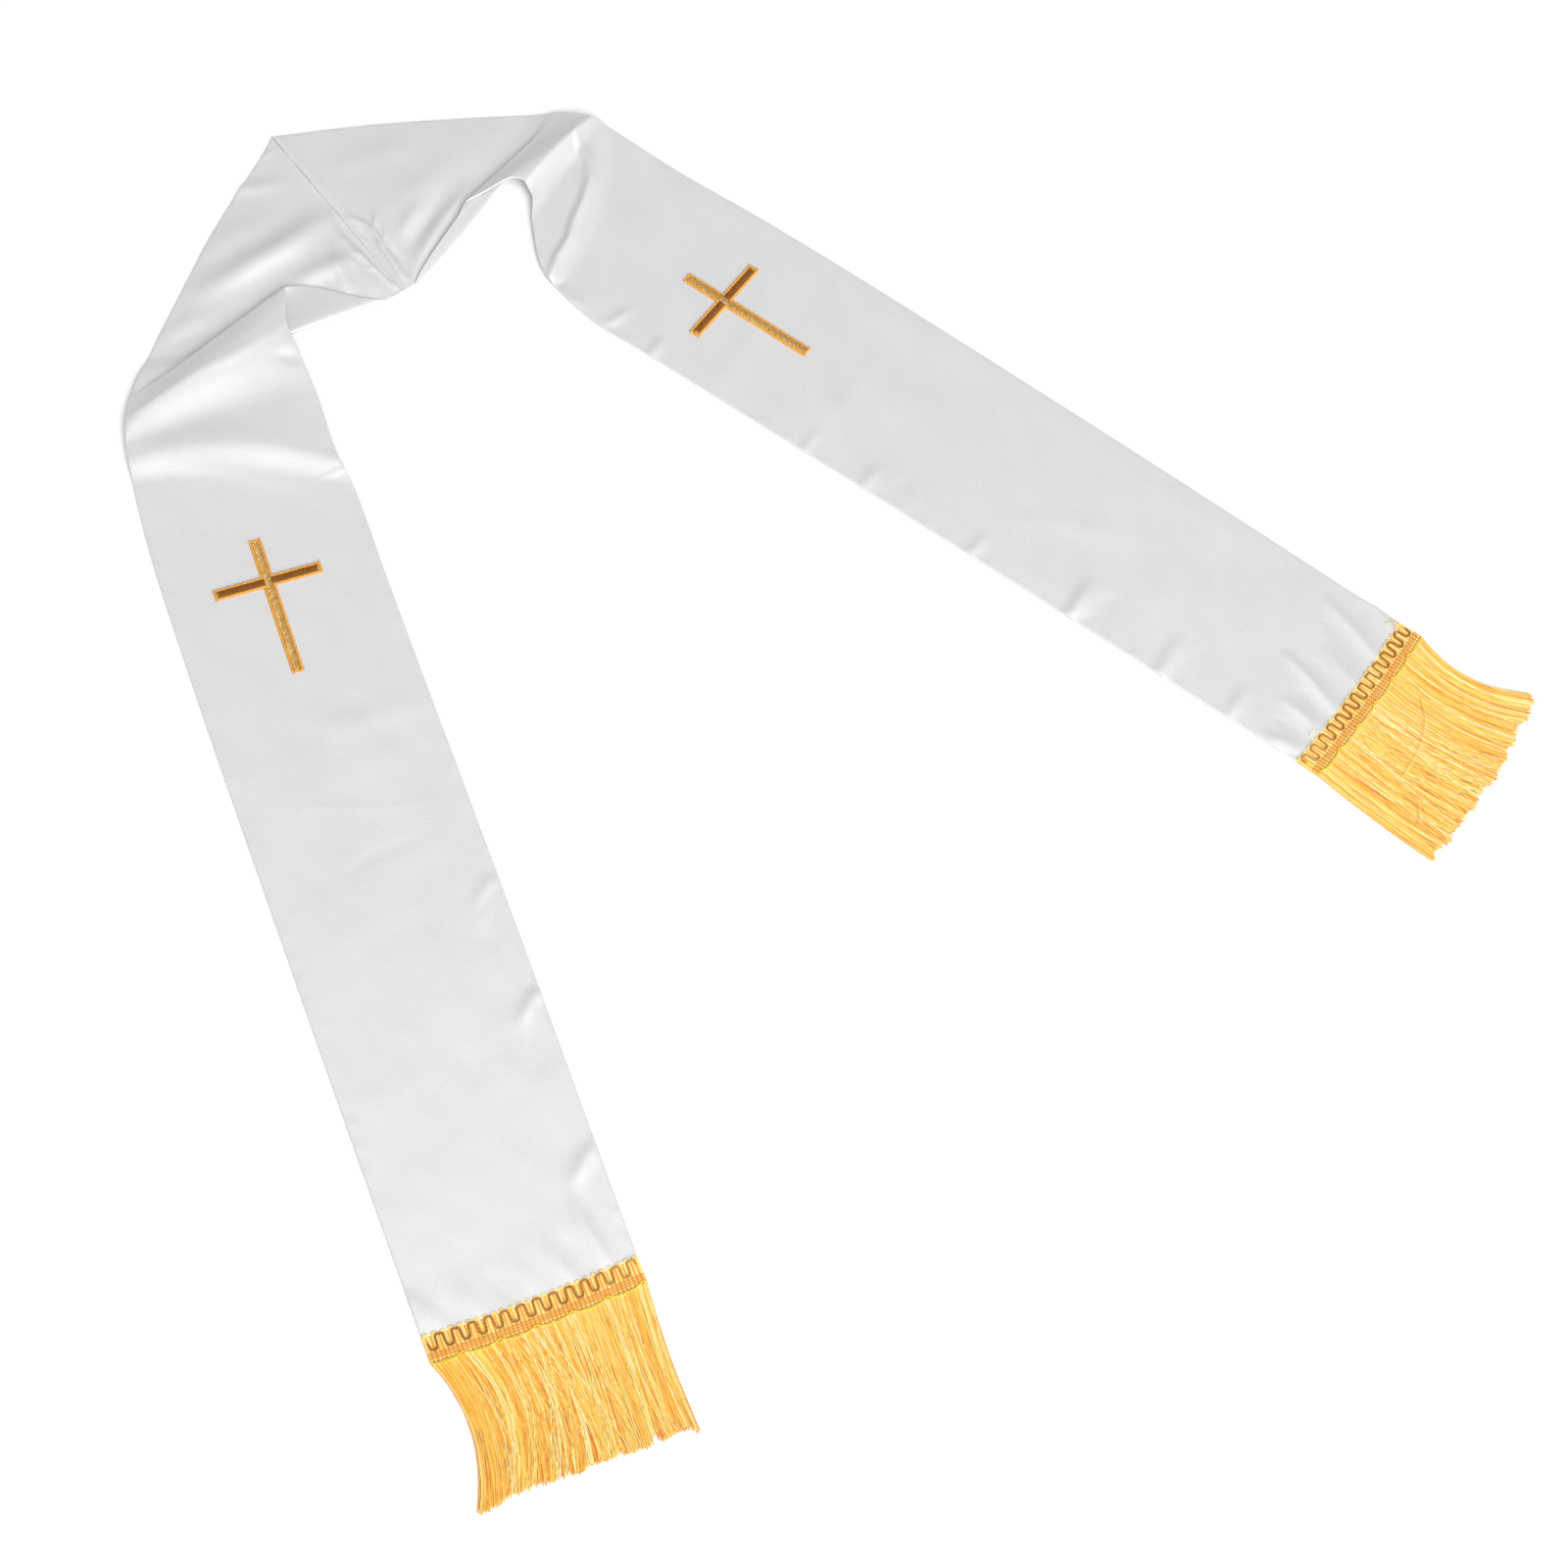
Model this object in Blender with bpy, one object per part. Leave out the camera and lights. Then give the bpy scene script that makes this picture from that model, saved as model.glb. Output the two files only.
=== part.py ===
# Clerical stole of white satin with gold crosses and fringed hems, laid flat on a surface as a V.
# Sizes are in millimetres in the tables and turned into metres when a mesh is made.
# The nape seam lies on the Y axis of the tables, the hems point to -Y, and the floor is at height 0.
import math
from collections import namedtuple

import bmesh
import bpy
import numpy as np

MM = 0.001

# Cloth of the two strips
WALL = 1.2                # two layers of satin with their facing between them
SEAM_GAP = 0.3            # room between pieces that are sewn together
ACROSS_STEPS = 12         # grid cells across a strip
CREASE_ANGLE_DEG = 50.0   # edges sharper than this stay sharp in the shading

# Crosses
CROSS_LENGTH = 98.0       # long bar
CROSS_SPAN = 68.0         # cross bar
CROSS_BAR = 7.6           # width of both bars
CROSS_ARM_DROP = 31.0     # from the top of the long bar to the middle of the cross bar
CROSS_THICKNESS = 1.0     # embroidered pad
CROSS_BORDER = 1.5        # satin-stitched rim
CROSS_FILL_DROP = 0.35    # how far the filling lies below the rim
CROSS_RIM_CREST = 0.4     # where the rim is highest, as a share of its width

# Fringe
BRAID_DEPTH = 18.0        # from its upper to its lower edge
BRAID_THICKNESS = 2.0
STRANDS = 68              # locks of thread on each hem
STRAND_SHARE = 0.66       # share of the pitch that a lock takes
STRAND_ROOT_LIFT = 0.5    # underside of the roots above the floor
STRAND_THICKNESS = 1.1
STRAND_BENDS = 3
STRAND_TAPER = 0.16       # how much narrower a lock is at its tip
STRAND_THINNING = 0.3     # how much thinner it is there
TIP_LIFT = 0.5            # how far the locks rise from their roots on average
TIP_RIPPLE = 0.5          # and how far their tips lie above or below that
UNEVEN_LENGTH = 0.025     # uneven cutting of the locks, as a share of their length
UNEVEN_STEP = 2.4         # angle in radians from one lock to the next in what varies
CORD_WAVES = 13           # waves of the metallic cord on each braid
CORD_RADIUS = 0.7
CORD_SIDES = 3
CORD_POINTS_PER_WAVE = 8
CORD_REACH = 3.8          # half the height of a wave
CORD_DROP = 6.9           # from the braid's upper edge to the middle of the waves
CORD_END_GAP = 2.5        # bare braid beyond the first and last wave

# Each row is a line of the cloth from the outer edge of the strip to its inner edge.
# Lifts are heights above cloth that lies on the floor; bow is how far the row's middle is moved
# towards the hem; cells is how many grid cells lead to the next row.
Section = namedtuple(
    "Section",
    "name outer_x outer_y outer_lift middle_lift inner_x inner_y inner_lift bow cells")

LEFT_SECTIONS = [
    Section("nape seam",          0.0, 587.0, 0.0, 0.0,    0.0, 430.0, 0.0, 0.0, 3),
    Section("neck",             -66.0, 547.0, 0.0, 2.4,   -5.0, 430.0, 0.0, 0.0, 3),
    Section("neck, lower",     -124.0, 508.5, 0.0, 1.2,   -9.0, 430.2, 0.0, 0.0, 3),
    Section("before tuck",     -176.0, 472.0, 0.0, 0.0,  -16.0, 432.5, 0.0, 0.0, 2),
    Section("under fold",      -183.0, 466.0, 0.9, 1.2,  -12.0, 429.6, 1.2, 0.0, 2),
    Section("flap foot",       -186.5, 462.5, 1.7, 2.6,  -17.0, 433.5, 2.6, 0.0, 2),
    Section("flap top",        -190.0, 459.5, 2.5, 4.6,  -58.0, 469.0, 5.6, 0.0, 2),
    Section("upper fold",      -193.0, 456.0, 3.2, 6.2,  -62.5, 472.5, 6.9, 0.0, 2),
    Section("panel start",     -196.0, 452.5, 3.9, 8.0,  -65.0, 469.5, 8.3, 0.0, 2),
    Section("crest",           -201.0, 446.0, 4.8, 10.5, -77.0, 450.0, 9.2, 0.0, 2),
    Section("near slope",      -206.0, 438.5, 4.6, 6.6,  -83.0, 437.0, 6.6, 0.0, 3),
    Section("hollow",          -210.5, 431.0, 3.4, 3.0,  -91.5, 394.0, 3.6, -7.0, 3),
    Section("lower ridge",     -215.0, 422.0, 2.4, 6.0, -107.0, 341.0, 3.8, -12.0, 3),
    Section("ridge foot",      -224.0, 401.0, 0.5, 0.8, -110.0, 327.0, 0.2, -4.0, 2),
    Section("panel",           -240.0, 357.0, 0.0, 0.0, -117.0, 302.0, 0.0, 0.0, 3),
    Section("panel, square",   -258.0, 300.0, 0.0, 0.0, -129.0, 264.0, 0.0, 0.0, 6),
    Section("panel, middle",   -321.0,  84.0, 0.0, 0.0, -193.0,  52.0, 0.0, 0.0, 6),
    Section("hem",             -387.0, -147.5, 0.0, 0.0, -265.0, -181.5, 0.0, 2.0, 0),
]

RIGHT_SECTIONS = [
    Section("nape seam",          0.0, 587.0, 0.0, 0.0,   0.0, 430.0, 0.0, 0.0, 3),
    Section("neck",              56.0, 558.0, 0.0, 1.0,   3.0, 430.0, 0.0, 0.0, 3),
    Section("neck, lower",      108.0, 528.5, 0.0, 1.6,   6.0, 430.5, 0.0, 2.0, 3),
    Section("before tuck",      150.0, 503.0, 0.0, 0.6,  10.0, 434.5, 0.0, 4.0, 2),
    Section("under fold",       160.0, 496.5, 0.9, 1.4,   9.0, 430.6, 1.2, 5.0, 2),
    Section("flap foot",        164.0, 494.0, 1.8, 2.8,  14.0, 434.0, 2.6, 4.0, 2),
    Section("flap top",         167.5, 491.5, 2.8, 4.8,  62.0, 457.0, 6.8, 1.0, 2),
    Section("upper fold",       171.0, 489.0, 3.6, 7.0,  74.0, 463.0, 8.6, 0.0, 2),
    Section("panel start",      174.0, 486.0, 4.4, 8.8,  84.0, 462.0, 9.8, 0.0, 2),
    Section("crest",            178.0, 481.0, 5.4, 11.2, 106.0, 461.0, 10.8, 0.0, 2),
    Section("notch",            182.0, 475.5, 5.2, 7.4,  113.0, 451.0, 9.4, 0.0, 3),
    Section("hollow",           186.0, 469.0, 4.2, 3.0,  100.5, 427.0, 5.0, 4.0, 3),
    Section("lower ridge",      189.5, 460.0, 2.8, 7.4,  82.5, 379.0, 3.4, 12.0, 3),
    Section("ridge foot",       197.0, 437.0, 0.6, 0.8,  84.0, 361.0, 0.2, 10.0, 2),
    Section("panel",            207.0, 400.0, 0.0, 0.0,  86.5, 342.0, 0.0, 4.0, 3),
    Section("panel, square",    228.0, 343.0, 0.0, 0.0, 100.0, 299.0, 0.0, 0.0, 6),
    Section("panel, middle",    298.0, 106.0, 0.0, 0.0, 172.0,  68.0, 0.0, 0.0, 6),
    Section("hem",              365.5, -139.0, 0.0, 0.0, 245.0, -173.0, 0.0, 2.0, 0),
]

# Where the crosses lie: the middle of the cross bar, and the way up along the long bar.
CrossPlace = namedtuple("CrossPlace", "name x y lean_deg")
CROSS_PLACES = [
    CrossPlace("left_cross", -192.0, 298.0, -17.5),
    CrossPlace("right_cross", 167.0, 303.0, 16.8),
]

# A fringe: the length of its locks at the outer side, middle and inner side, how far their tips
# drift towards the outer side there, and how far they sway towards it half way down.
FringeShape = namedtuple(
    "FringeShape",
    "name cord_name side length_outer length_middle length_inner "
    "tip_outer tip_middle tip_inner sway_outer sway_middle sway_inner")
FRINGES = [
    FringeShape("left_fringe", "left_braid_cord", -1, 80.0, 80.0, 79.0, 8.0, 1.0, 0.0, -6.5, -2.0, 0.5),
    FringeShape("right_fringe", "right_braid_cord", 1, 77.0, 80.0, 82.0, 15.0, 4.0, -5.5, -7.0, -2.0, -3.0),
]


def fabric_material(name, colour, roughness, metallic):
    material = bpy.data.materials.new(name)
    material.use_nodes = True
    shader = material.node_tree.nodes["Principled BSDF"]
    shader.inputs["Base Color"].default_value = (*colour, 1.0)
    shader.inputs["Roughness"].default_value = roughness
    shader.inputs["Metallic"].default_value = metallic
    return material


def smooth_slopes(params, values):
    # Slopes that never overshoot: the curve stays between neighbouring rows of the table.
    steps = np.diff(params)
    chords = np.diff(values, axis=0) / steps[:, None]
    slopes = np.zeros_like(values)
    slopes[0] = chords[0]
    slopes[-1] = chords[-1]
    for row in range(1, len(values) - 1):
        before = chords[row - 1]
        after = chords[row]
        same_way = before * after > 0.0
        weight_before = 2.0 * steps[row] + steps[row - 1]
        weight_after = steps[row] + 2.0 * steps[row - 1]
        safe_before = np.where(same_way, before, 1.0)
        safe_after = np.where(same_way, after, 1.0)
        mean = (weight_before + weight_after) / (weight_before / safe_before + weight_after / safe_after)
        slopes[row] = np.where(same_way, mean, 0.0)
    return slopes


def section_point(section, across):
    outer = np.array([section.outer_x, section.outer_y])
    inner = np.array([section.inner_x, section.inner_y])
    line = inner - outer
    sideways = np.array([line[1], -line[0]]) / np.linalg.norm(line)
    if sideways[1] > 0.0:
        sideways = -sideways
    hump = 4.0 * across * (1.0 - across)
    place = outer + line * across + sideways * (section.bow * hump)
    straight = section.outer_lift + (section.inner_lift - section.outer_lift) * across
    middle_extra = section.middle_lift - 0.5 * (section.outer_lift + section.inner_lift)
    lift = straight + middle_extra * hump
    return np.array([place[0], place[1], WALL / 2.0 + lift])


def strip_middle_surface(sections):
    # Rows run along the strip, columns from the outer to the inner edge.
    columns = []
    for column in range(ACROSS_STEPS + 1):
        across = column / ACROSS_STEPS
        knots = np.array([section_point(section, across) for section in sections])
        spans = np.linalg.norm(np.diff(knots, axis=0), axis=1)
        params = np.concatenate([[0.0], np.cumsum(spans)])
        slopes = smooth_slopes(params, knots)
        points = [knots[0]]
        for index in range(len(sections) - 1):
            span = params[index + 1] - params[index]
            for cell in range(1, sections[index].cells + 1):
                t = cell / sections[index].cells
                blend_start = 2 * t ** 3 - 3 * t ** 2 + 1
                blend_end = -2 * t ** 3 + 3 * t ** 2
                pull_start = (t ** 3 - 2 * t ** 2 + t) * span
                pull_end = (t ** 3 - t ** 2) * span
                points.append(
                    blend_start * knots[index] + blend_end * knots[index + 1]
                    + pull_start * slopes[index] + pull_end * slopes[index + 1])
        columns.append(points)
    return np.array(columns).transpose(1, 0, 2)


def unit(vectors):
    return vectors / np.linalg.norm(vectors, axis=-1, keepdims=True)


def surface_normals(grid, side):
    along = np.zeros_like(grid)
    across = np.zeros_like(grid)
    forward = unit(np.diff(grid, axis=0))
    along[0] = forward[0]
    along[-1] = forward[-1]
    along[1:-1] = forward[:-1] + forward[1:]
    sideways = unit(np.diff(grid, axis=1))
    across[:, 0] = sideways[:, 0]
    across[:, -1] = sideways[:, -1]
    across[:, 1:-1] = sideways[:, :-1] + sideways[:, 1:]
    return unit(np.cross(along, across)) * -side


def grid_shell(name, grid, normals, wall, side, material):
    # A closed wall on both sides of the middle surface.
    rows, columns = grid.shape[:2]
    upper = grid + normals * (wall / 2.0)
    lower = grid - normals * (wall / 2.0)
    mesh = bpy.data.meshes.new(name)
    build = bmesh.new()
    top = [[build.verts.new(upper[r, c] * MM) for c in range(columns)] for r in range(rows)]
    base = [[build.verts.new(lower[r, c] * MM) for c in range(columns)] for r in range(rows)]
    for r in range(rows - 1):
        for c in range(columns - 1):
            build.faces.new((top[r][c], top[r + 1][c], top[r + 1][c + 1], top[r][c + 1]))
            build.faces.new((base[r][c], base[r][c + 1], base[r + 1][c + 1], base[r + 1][c]))
    for r in range(rows - 1):
        build.faces.new((base[r][0], base[r + 1][0], top[r + 1][0], top[r][0]))
        build.faces.new((top[r][-1], top[r + 1][-1], base[r + 1][-1], base[r][-1]))
    for c in range(columns - 1):
        build.faces.new((top[0][c], top[0][c + 1], base[0][c + 1], base[0][c]))
        build.faces.new((base[-1][c], base[-1][c + 1], top[-1][c + 1], top[-1][c]))
    if side > 0:
        bmesh.ops.reverse_faces(build, faces=build.faces)
    bmesh.ops.triangulate(build, faces=build.faces)
    build.to_mesh(mesh)
    build.free()
    strip = bpy.data.objects.new(name, mesh)
    bpy.context.collection.objects.link(strip)
    mesh.materials.append(material)
    mesh.shade_smooth()
    mesh.set_sharp_from_angle(angle=math.radians(CREASE_ANGLE_DEG))
    return strip


def make_strip(name, sections, side, material):
    grid = strip_middle_surface(sections)
    grid[0, :, 0] += side * SEAM_GAP / 2.0
    return grid_shell(name, grid, surface_normals(grid, side), WALL, side, material)


def cross_outline(inset):
    # Twelve corners of a Latin cross about the middle of its cross bar.
    half_bar = CROSS_BAR / 2.0 - inset
    half_span = CROSS_SPAN / 2.0 - inset
    top = CROSS_ARM_DROP - inset
    foot = CROSS_LENGTH - CROSS_ARM_DROP - inset
    return [
        (-half_bar, -foot), (half_bar, -foot), (half_bar, -half_bar), (half_span, -half_bar),
        (half_span, half_bar), (half_bar, half_bar), (half_bar, top), (-half_bar, top),
        (-half_bar, half_bar), (-half_span, half_bar), (-half_span, -half_bar), (-half_bar, -half_bar),
    ]


# The five rectangles of a cross, by its corners: foot, right arm, head, left arm and middle.
CROSS_PANES = [(0, 1, 2, 11), (2, 3, 4, 5), (5, 6, 7, 8), (8, 9, 10, 11), (11, 2, 5, 8)]


def make_cross(place, material):
    # The pad lies on the panel's upper face, which is flat there.
    base_height = WALL + SEAM_GAP
    rim_height = base_height + CROSS_THICKNESS
    fill_height = rim_height - CROSS_FILL_DROP
    levels = [
        (cross_outline(0.0), base_height),
        (cross_outline(0.0), rim_height - CROSS_FILL_DROP),
        (cross_outline(CROSS_RIM_CREST * CROSS_BORDER), rim_height),
        (cross_outline(CROSS_BORDER), fill_height),
    ]
    lean = math.radians(place.lean_deg)
    mesh = bpy.data.meshes.new(place.name)
    build = bmesh.new()
    rings = []
    for outline, height in levels:
        ring = []
        for x, y in outline:
            turned_x = place.x + x * math.cos(lean) - y * math.sin(lean)
            turned_y = place.y + x * math.sin(lean) + y * math.cos(lean)
            ring.append(build.verts.new((turned_x * MM, turned_y * MM, height * MM)))
        rings.append(ring)
    for lower, upper in zip(rings[:-1], rings[1:]):
        for corner in range(len(lower)):
            after = (corner + 1) % len(lower)
            build.faces.new((lower[corner], lower[after], upper[after], upper[corner]))
    for corners in CROSS_PANES:
        build.faces.new([rings[-1][corner] for corner in corners])
        build.faces.new([rings[0][corner] for corner in reversed(corners)])
    bmesh.ops.triangulate(build, faces=build.faces)
    build.to_mesh(mesh)
    build.free()
    cross = bpy.data.objects.new(place.name, mesh)
    bpy.context.collection.objects.link(cross)
    mesh.materials.append(material)
    return cross


def three_way(outer, middle, inner, across):
    # A smooth curve through the values at the outer side, the middle and the inner side.
    straight = outer + (inner - outer) * across
    return straight + (middle - 0.5 * (outer + inner)) * 4.0 * across * (1.0 - across)


def hem_frame(sections):
    # The hem's outer end, the way along it, the way down the fringe, its width and its bow.
    hem = sections[-1]
    outer = np.array([hem.outer_x, hem.outer_y])
    inner = np.array([hem.inner_x, hem.inner_y])
    line = inner - outer
    width = np.linalg.norm(line)
    line = line / width
    down = np.array([line[1], -line[0]])
    if down[1] > 0.0:
        down = -down
    return outer, line, down, width, hem.bow


def make_fringe(shape, sections, material):
    # The braid is a flat strip along the hem, and every second cell of its lower edge grows a lock.
    outer, line, down, width, bow = hem_frame(sections)
    pitch = width / STRANDS
    strand = pitch * STRAND_SHARE
    stops = [0.0]
    for index in range(STRANDS):
        middle = (index + 0.5) * pitch
        stops.append(middle - strand / 2.0)
        stops.append(middle + strand / 2.0)
    stops.append(width)
    root_top = STRAND_ROOT_LIFT + STRAND_THICKNESS
    heights = [0.0, STRAND_ROOT_LIFT, root_top, BRAID_THICKNESS]
    mesh = bpy.data.meshes.new(shape.name)
    build = bmesh.new()

    def braid_point(stop, drop):
        across = stop / width
        return outer + line * stop + down * (SEAM_GAP + drop + bow * 4.0 * across * (1.0 - across))

    def vertex(place, height):
        return build.verts.new((place[0] * MM, place[1] * MM, height * MM))

    back_low = [vertex(braid_point(stop, 0.0), heights[0]) for stop in stops]
    back_high = [vertex(braid_point(stop, 0.0), heights[-1]) for stop in stops]
    front = [[vertex(braid_point(stop, BRAID_DEPTH), height) for stop in stops] for height in heights]
    last = len(stops) - 1
    for cell in range(last):
        build.faces.new((back_high[cell], back_high[cell + 1], front[-1][cell + 1], front[-1][cell]))
        build.faces.new((back_low[cell], front[0][cell], front[0][cell + 1], back_low[cell + 1]))
        build.faces.new((back_low[cell], back_low[cell + 1], back_high[cell + 1], back_high[cell]))
        is_lock = cell % 2 == 1
        build.faces.new((front[0][cell], front[1][cell], front[1][cell + 1], front[0][cell + 1]))
        build.faces.new((front[2][cell], front[3][cell], front[3][cell + 1], front[2][cell + 1]))
        if not is_lock:
            build.faces.new((front[1][cell], front[2][cell], front[2][cell + 1], front[1][cell + 1]))
            continue
        across = 0.5 * (stops[cell] + stops[cell + 1]) / width
        index = cell // 2
        length = three_way(shape.length_outer, shape.length_middle, shape.length_inner, across)
        length *= 1.0 + UNEVEN_LENGTH * math.sin(index * UNEVEN_STEP) * math.cos(index)
        tip = three_way(shape.tip_outer, shape.tip_middle, shape.tip_inner, across)
        sway = three_way(shape.sway_outer, shape.sway_middle, shape.sway_inner, across)
        ring = [front[1][cell], front[2][cell], front[2][cell + 1], front[1][cell + 1]]
        for bend in range(1, STRAND_BENDS + 1):
            t = bend / STRAND_BENDS
            middle_stop = 0.5 * (stops[cell] + stops[cell + 1])
            centre = braid_point(middle_stop, BRAID_DEPTH) + down * (length * t)
            centre = centre - line * (tip * t * t + sway * 4.0 * t * (1.0 - t))
            half = 0.5 * strand * (1.0 - STRAND_TAPER * t)
            ripple = TIP_RIPPLE * math.sin(index * UNEVEN_STEP + math.pi * t) * t
            low = STRAND_ROOT_LIFT + TIP_LIFT * min(1.0, STRAND_BENDS * t) + ripple
            high = low + STRAND_THICKNESS * (1.0 - STRAND_THINNING * t)
            left = centre - line * half
            right = centre + line * half
            after = [vertex(left, low), vertex(left, high), vertex(right, high), vertex(right, low)]
            for corner in range(4):
                follow = (corner + 1) % 4
                build.faces.new((ring[corner], ring[follow], after[follow], after[corner]))
            ring = after
        build.faces.new(ring)
    for end, step in ((0, 1), (last, -1)):
        loop = [back_low[end], back_high[end], front[3][end], front[2][end], front[1][end], front[0][end]]
        build.faces.new(loop if step > 0 else list(reversed(loop)))
    bmesh.ops.recalc_face_normals(build, faces=build.faces)
    bmesh.ops.triangulate(build, faces=build.faces)
    build.to_mesh(mesh)
    build.free()
    fringe = bpy.data.objects.new(shape.name, mesh)
    bpy.context.collection.objects.link(fringe)
    mesh.materials.append(material)
    return fringe


def make_braid_cord(shape, sections, material):
    # A three-sided cord in waves, just above the braid's upper face.
    outer, line, down, width, bow = hem_frame(sections)
    count = CORD_WAVES * CORD_POINTS_PER_WAVE
    run = width - 2.0 * CORD_END_GAP
    centre_height = BRAID_THICKNESS + SEAM_GAP + CORD_RADIUS
    centres = []
    for point in range(count + 1):
        t = point / count
        wave = math.sin(2.0 * math.pi * CORD_WAVES * t)
        stop = CORD_END_GAP + run * t
        across = stop / width
        drop = CORD_DROP + CORD_REACH * wave + bow * 4.0 * across * (1.0 - across)
        centres.append(outer + line * stop + down * (SEAM_GAP + drop))
    centres = np.array(centres)
    mesh = bpy.data.meshes.new(shape.cord_name)
    build = bmesh.new()
    rings = []
    for point in range(count + 1):
        before = centres[max(point - 1, 0)]
        after = centres[min(point + 1, count)]
        heading = (after - before) / np.linalg.norm(after - before)
        aside = np.array([-heading[1], heading[0]])
        ring = []
        for corner in range(CORD_SIDES):
            angle = 0.5 * math.pi + 2.0 * math.pi * corner / CORD_SIDES
            place = centres[point] + aside * (CORD_RADIUS * math.cos(angle))
            height = centre_height + CORD_RADIUS * math.sin(angle)
            ring.append(build.verts.new((place[0] * MM, place[1] * MM, height * MM)))
        rings.append(ring)
    for first, second in zip(rings[:-1], rings[1:]):
        for corner in range(CORD_SIDES):
            follow = (corner + 1) % CORD_SIDES
            build.faces.new((first[corner], first[follow], second[follow], second[corner]))
    build.faces.new(rings[0])
    build.faces.new(rings[-1])
    bmesh.ops.recalc_face_normals(build, faces=build.faces)
    bmesh.ops.triangulate(build, faces=build.faces)
    build.to_mesh(mesh)
    build.free()
    cord = bpy.data.objects.new(shape.cord_name, mesh)
    bpy.context.collection.objects.link(cord)
    mesh.materials.append(material)
    return cord


def centre_on_floor(pieces):
    # The origin goes to the middle of the whole outline, on the floor.
    corners = np.array([tuple(vert.co) for piece in pieces for vert in piece.data.vertices])
    low = corners.min(axis=0)
    high = corners.max(axis=0)
    shift = np.array([(low[0] + high[0]) / 2.0, (low[1] + high[1]) / 2.0, low[2]])
    for piece in pieces:
        for vert in piece.data.vertices:
            vert.co = np.array(vert.co) - shift


def main():
    for item in list(bpy.data.objects):
        bpy.data.objects.remove(item, do_unlink=True)
    satin = fabric_material("white_satin", (0.82, 0.82, 0.82), 0.35, 0.0)
    gold_stitch = fabric_material("gold_embroidery", (0.50, 0.25, 0.06), 0.4, 0.3)
    fringe_thread = fabric_material("gold_fringe", (0.90, 0.53, 0.12), 0.45, 0.0)
    metal_cord = fabric_material("metallic_cord", (0.42, 0.24, 0.06), 0.4, 0.4)
    tables = {-1: LEFT_SECTIONS, 1: RIGHT_SECTIONS}
    pieces = [
        make_strip("left_strip", LEFT_SECTIONS, -1, satin),
        make_strip("right_strip", RIGHT_SECTIONS, 1, satin),
    ]
    pieces += [make_cross(place, gold_stitch) for place in CROSS_PLACES]
    for shape in FRINGES:
        pieces.append(make_fringe(shape, tables[shape.side], fringe_thread))
        pieces.append(make_braid_cord(shape, tables[shape.side], metal_cord))
    centre_on_floor(pieces)


main()
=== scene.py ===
# White satin stole laid flat in a V: satin, gold crosses, braid and thread fringe.
# Lengths in the tables are millimetres in the plan of the stole: the nape seam runs along x = 0,
# the hems lie towards -y, and heights start at the floor.
import math
import random
import bpy
import numpy as np
from mathutils import Matrix, Vector


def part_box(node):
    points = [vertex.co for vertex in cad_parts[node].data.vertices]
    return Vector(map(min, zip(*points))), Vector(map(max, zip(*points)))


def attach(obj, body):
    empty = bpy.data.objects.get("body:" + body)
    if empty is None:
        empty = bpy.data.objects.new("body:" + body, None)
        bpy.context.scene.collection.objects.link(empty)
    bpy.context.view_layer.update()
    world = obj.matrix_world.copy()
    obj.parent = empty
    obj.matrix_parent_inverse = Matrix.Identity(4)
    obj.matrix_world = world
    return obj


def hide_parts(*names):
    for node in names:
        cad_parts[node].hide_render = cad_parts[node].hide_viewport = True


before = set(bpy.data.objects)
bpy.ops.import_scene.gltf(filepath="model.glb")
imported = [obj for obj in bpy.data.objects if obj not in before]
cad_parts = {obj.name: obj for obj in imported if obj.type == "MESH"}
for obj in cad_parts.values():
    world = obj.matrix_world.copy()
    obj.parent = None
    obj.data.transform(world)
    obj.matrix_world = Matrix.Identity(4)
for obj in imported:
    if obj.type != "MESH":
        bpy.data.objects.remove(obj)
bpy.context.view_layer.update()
bpy.ops.object.select_all(action="DESELECT")
print("frame loaded")

mm = 0.001
halfSeamGap = 0.15
napeCorner = (0.0, 587.0)                      # outer end of the nape seam in the plan
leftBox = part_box("left_strip")
planShift = np.array([
    leftBox[1][0] / mm + halfSeamGap - napeCorner[0], leftBox[1][1] / mm - napeCorner[1], 0.0])


def toFrame(points):
    # plan millimetres to metres in the frame of the solids
    return (np.asarray(points, dtype=float) + planShift) * mm


def arch(share):
    # 0 at both ends and 1 in the middle
    return 4.0 * share * (1.0 - share)


def threeWay(values, share):
    # an even curve through a value at the start, in the middle and at the end
    start, middle, end = values
    return start + (end - start) * share + (middle - 0.5 * (start + end)) * arch(share)


def bell(distance, width):
    return np.exp(-((distance / width) ** 2))


def hemward(line):
    # unit normal of a line in the plan, on its side towards the hem
    normal = np.array([line[1], -line[0]]) / np.linalg.norm(line)
    return -normal if normal[1] > 0.0 else normal


def runAlong(points):
    # length of a path up to each of its points
    return np.concatenate([[0.0], np.cumsum(np.linalg.norm(np.diff(points, axis=0), axis=1))])


# camera
camSet = {
    "elevation": 63.486,      # degrees above the floor
    "roll": 8.341,
    "heading": -45.4,         # turn about the vertical
    "distance": 1.70,         # metres to the floor under the middle of the picture
    "asideX": -0.019,
    "focalPixels": 2867.65,
    "picturePixels": 1600.0,
    "sensor": 36.0,
    "clipEnd": 50.0,
}


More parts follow.
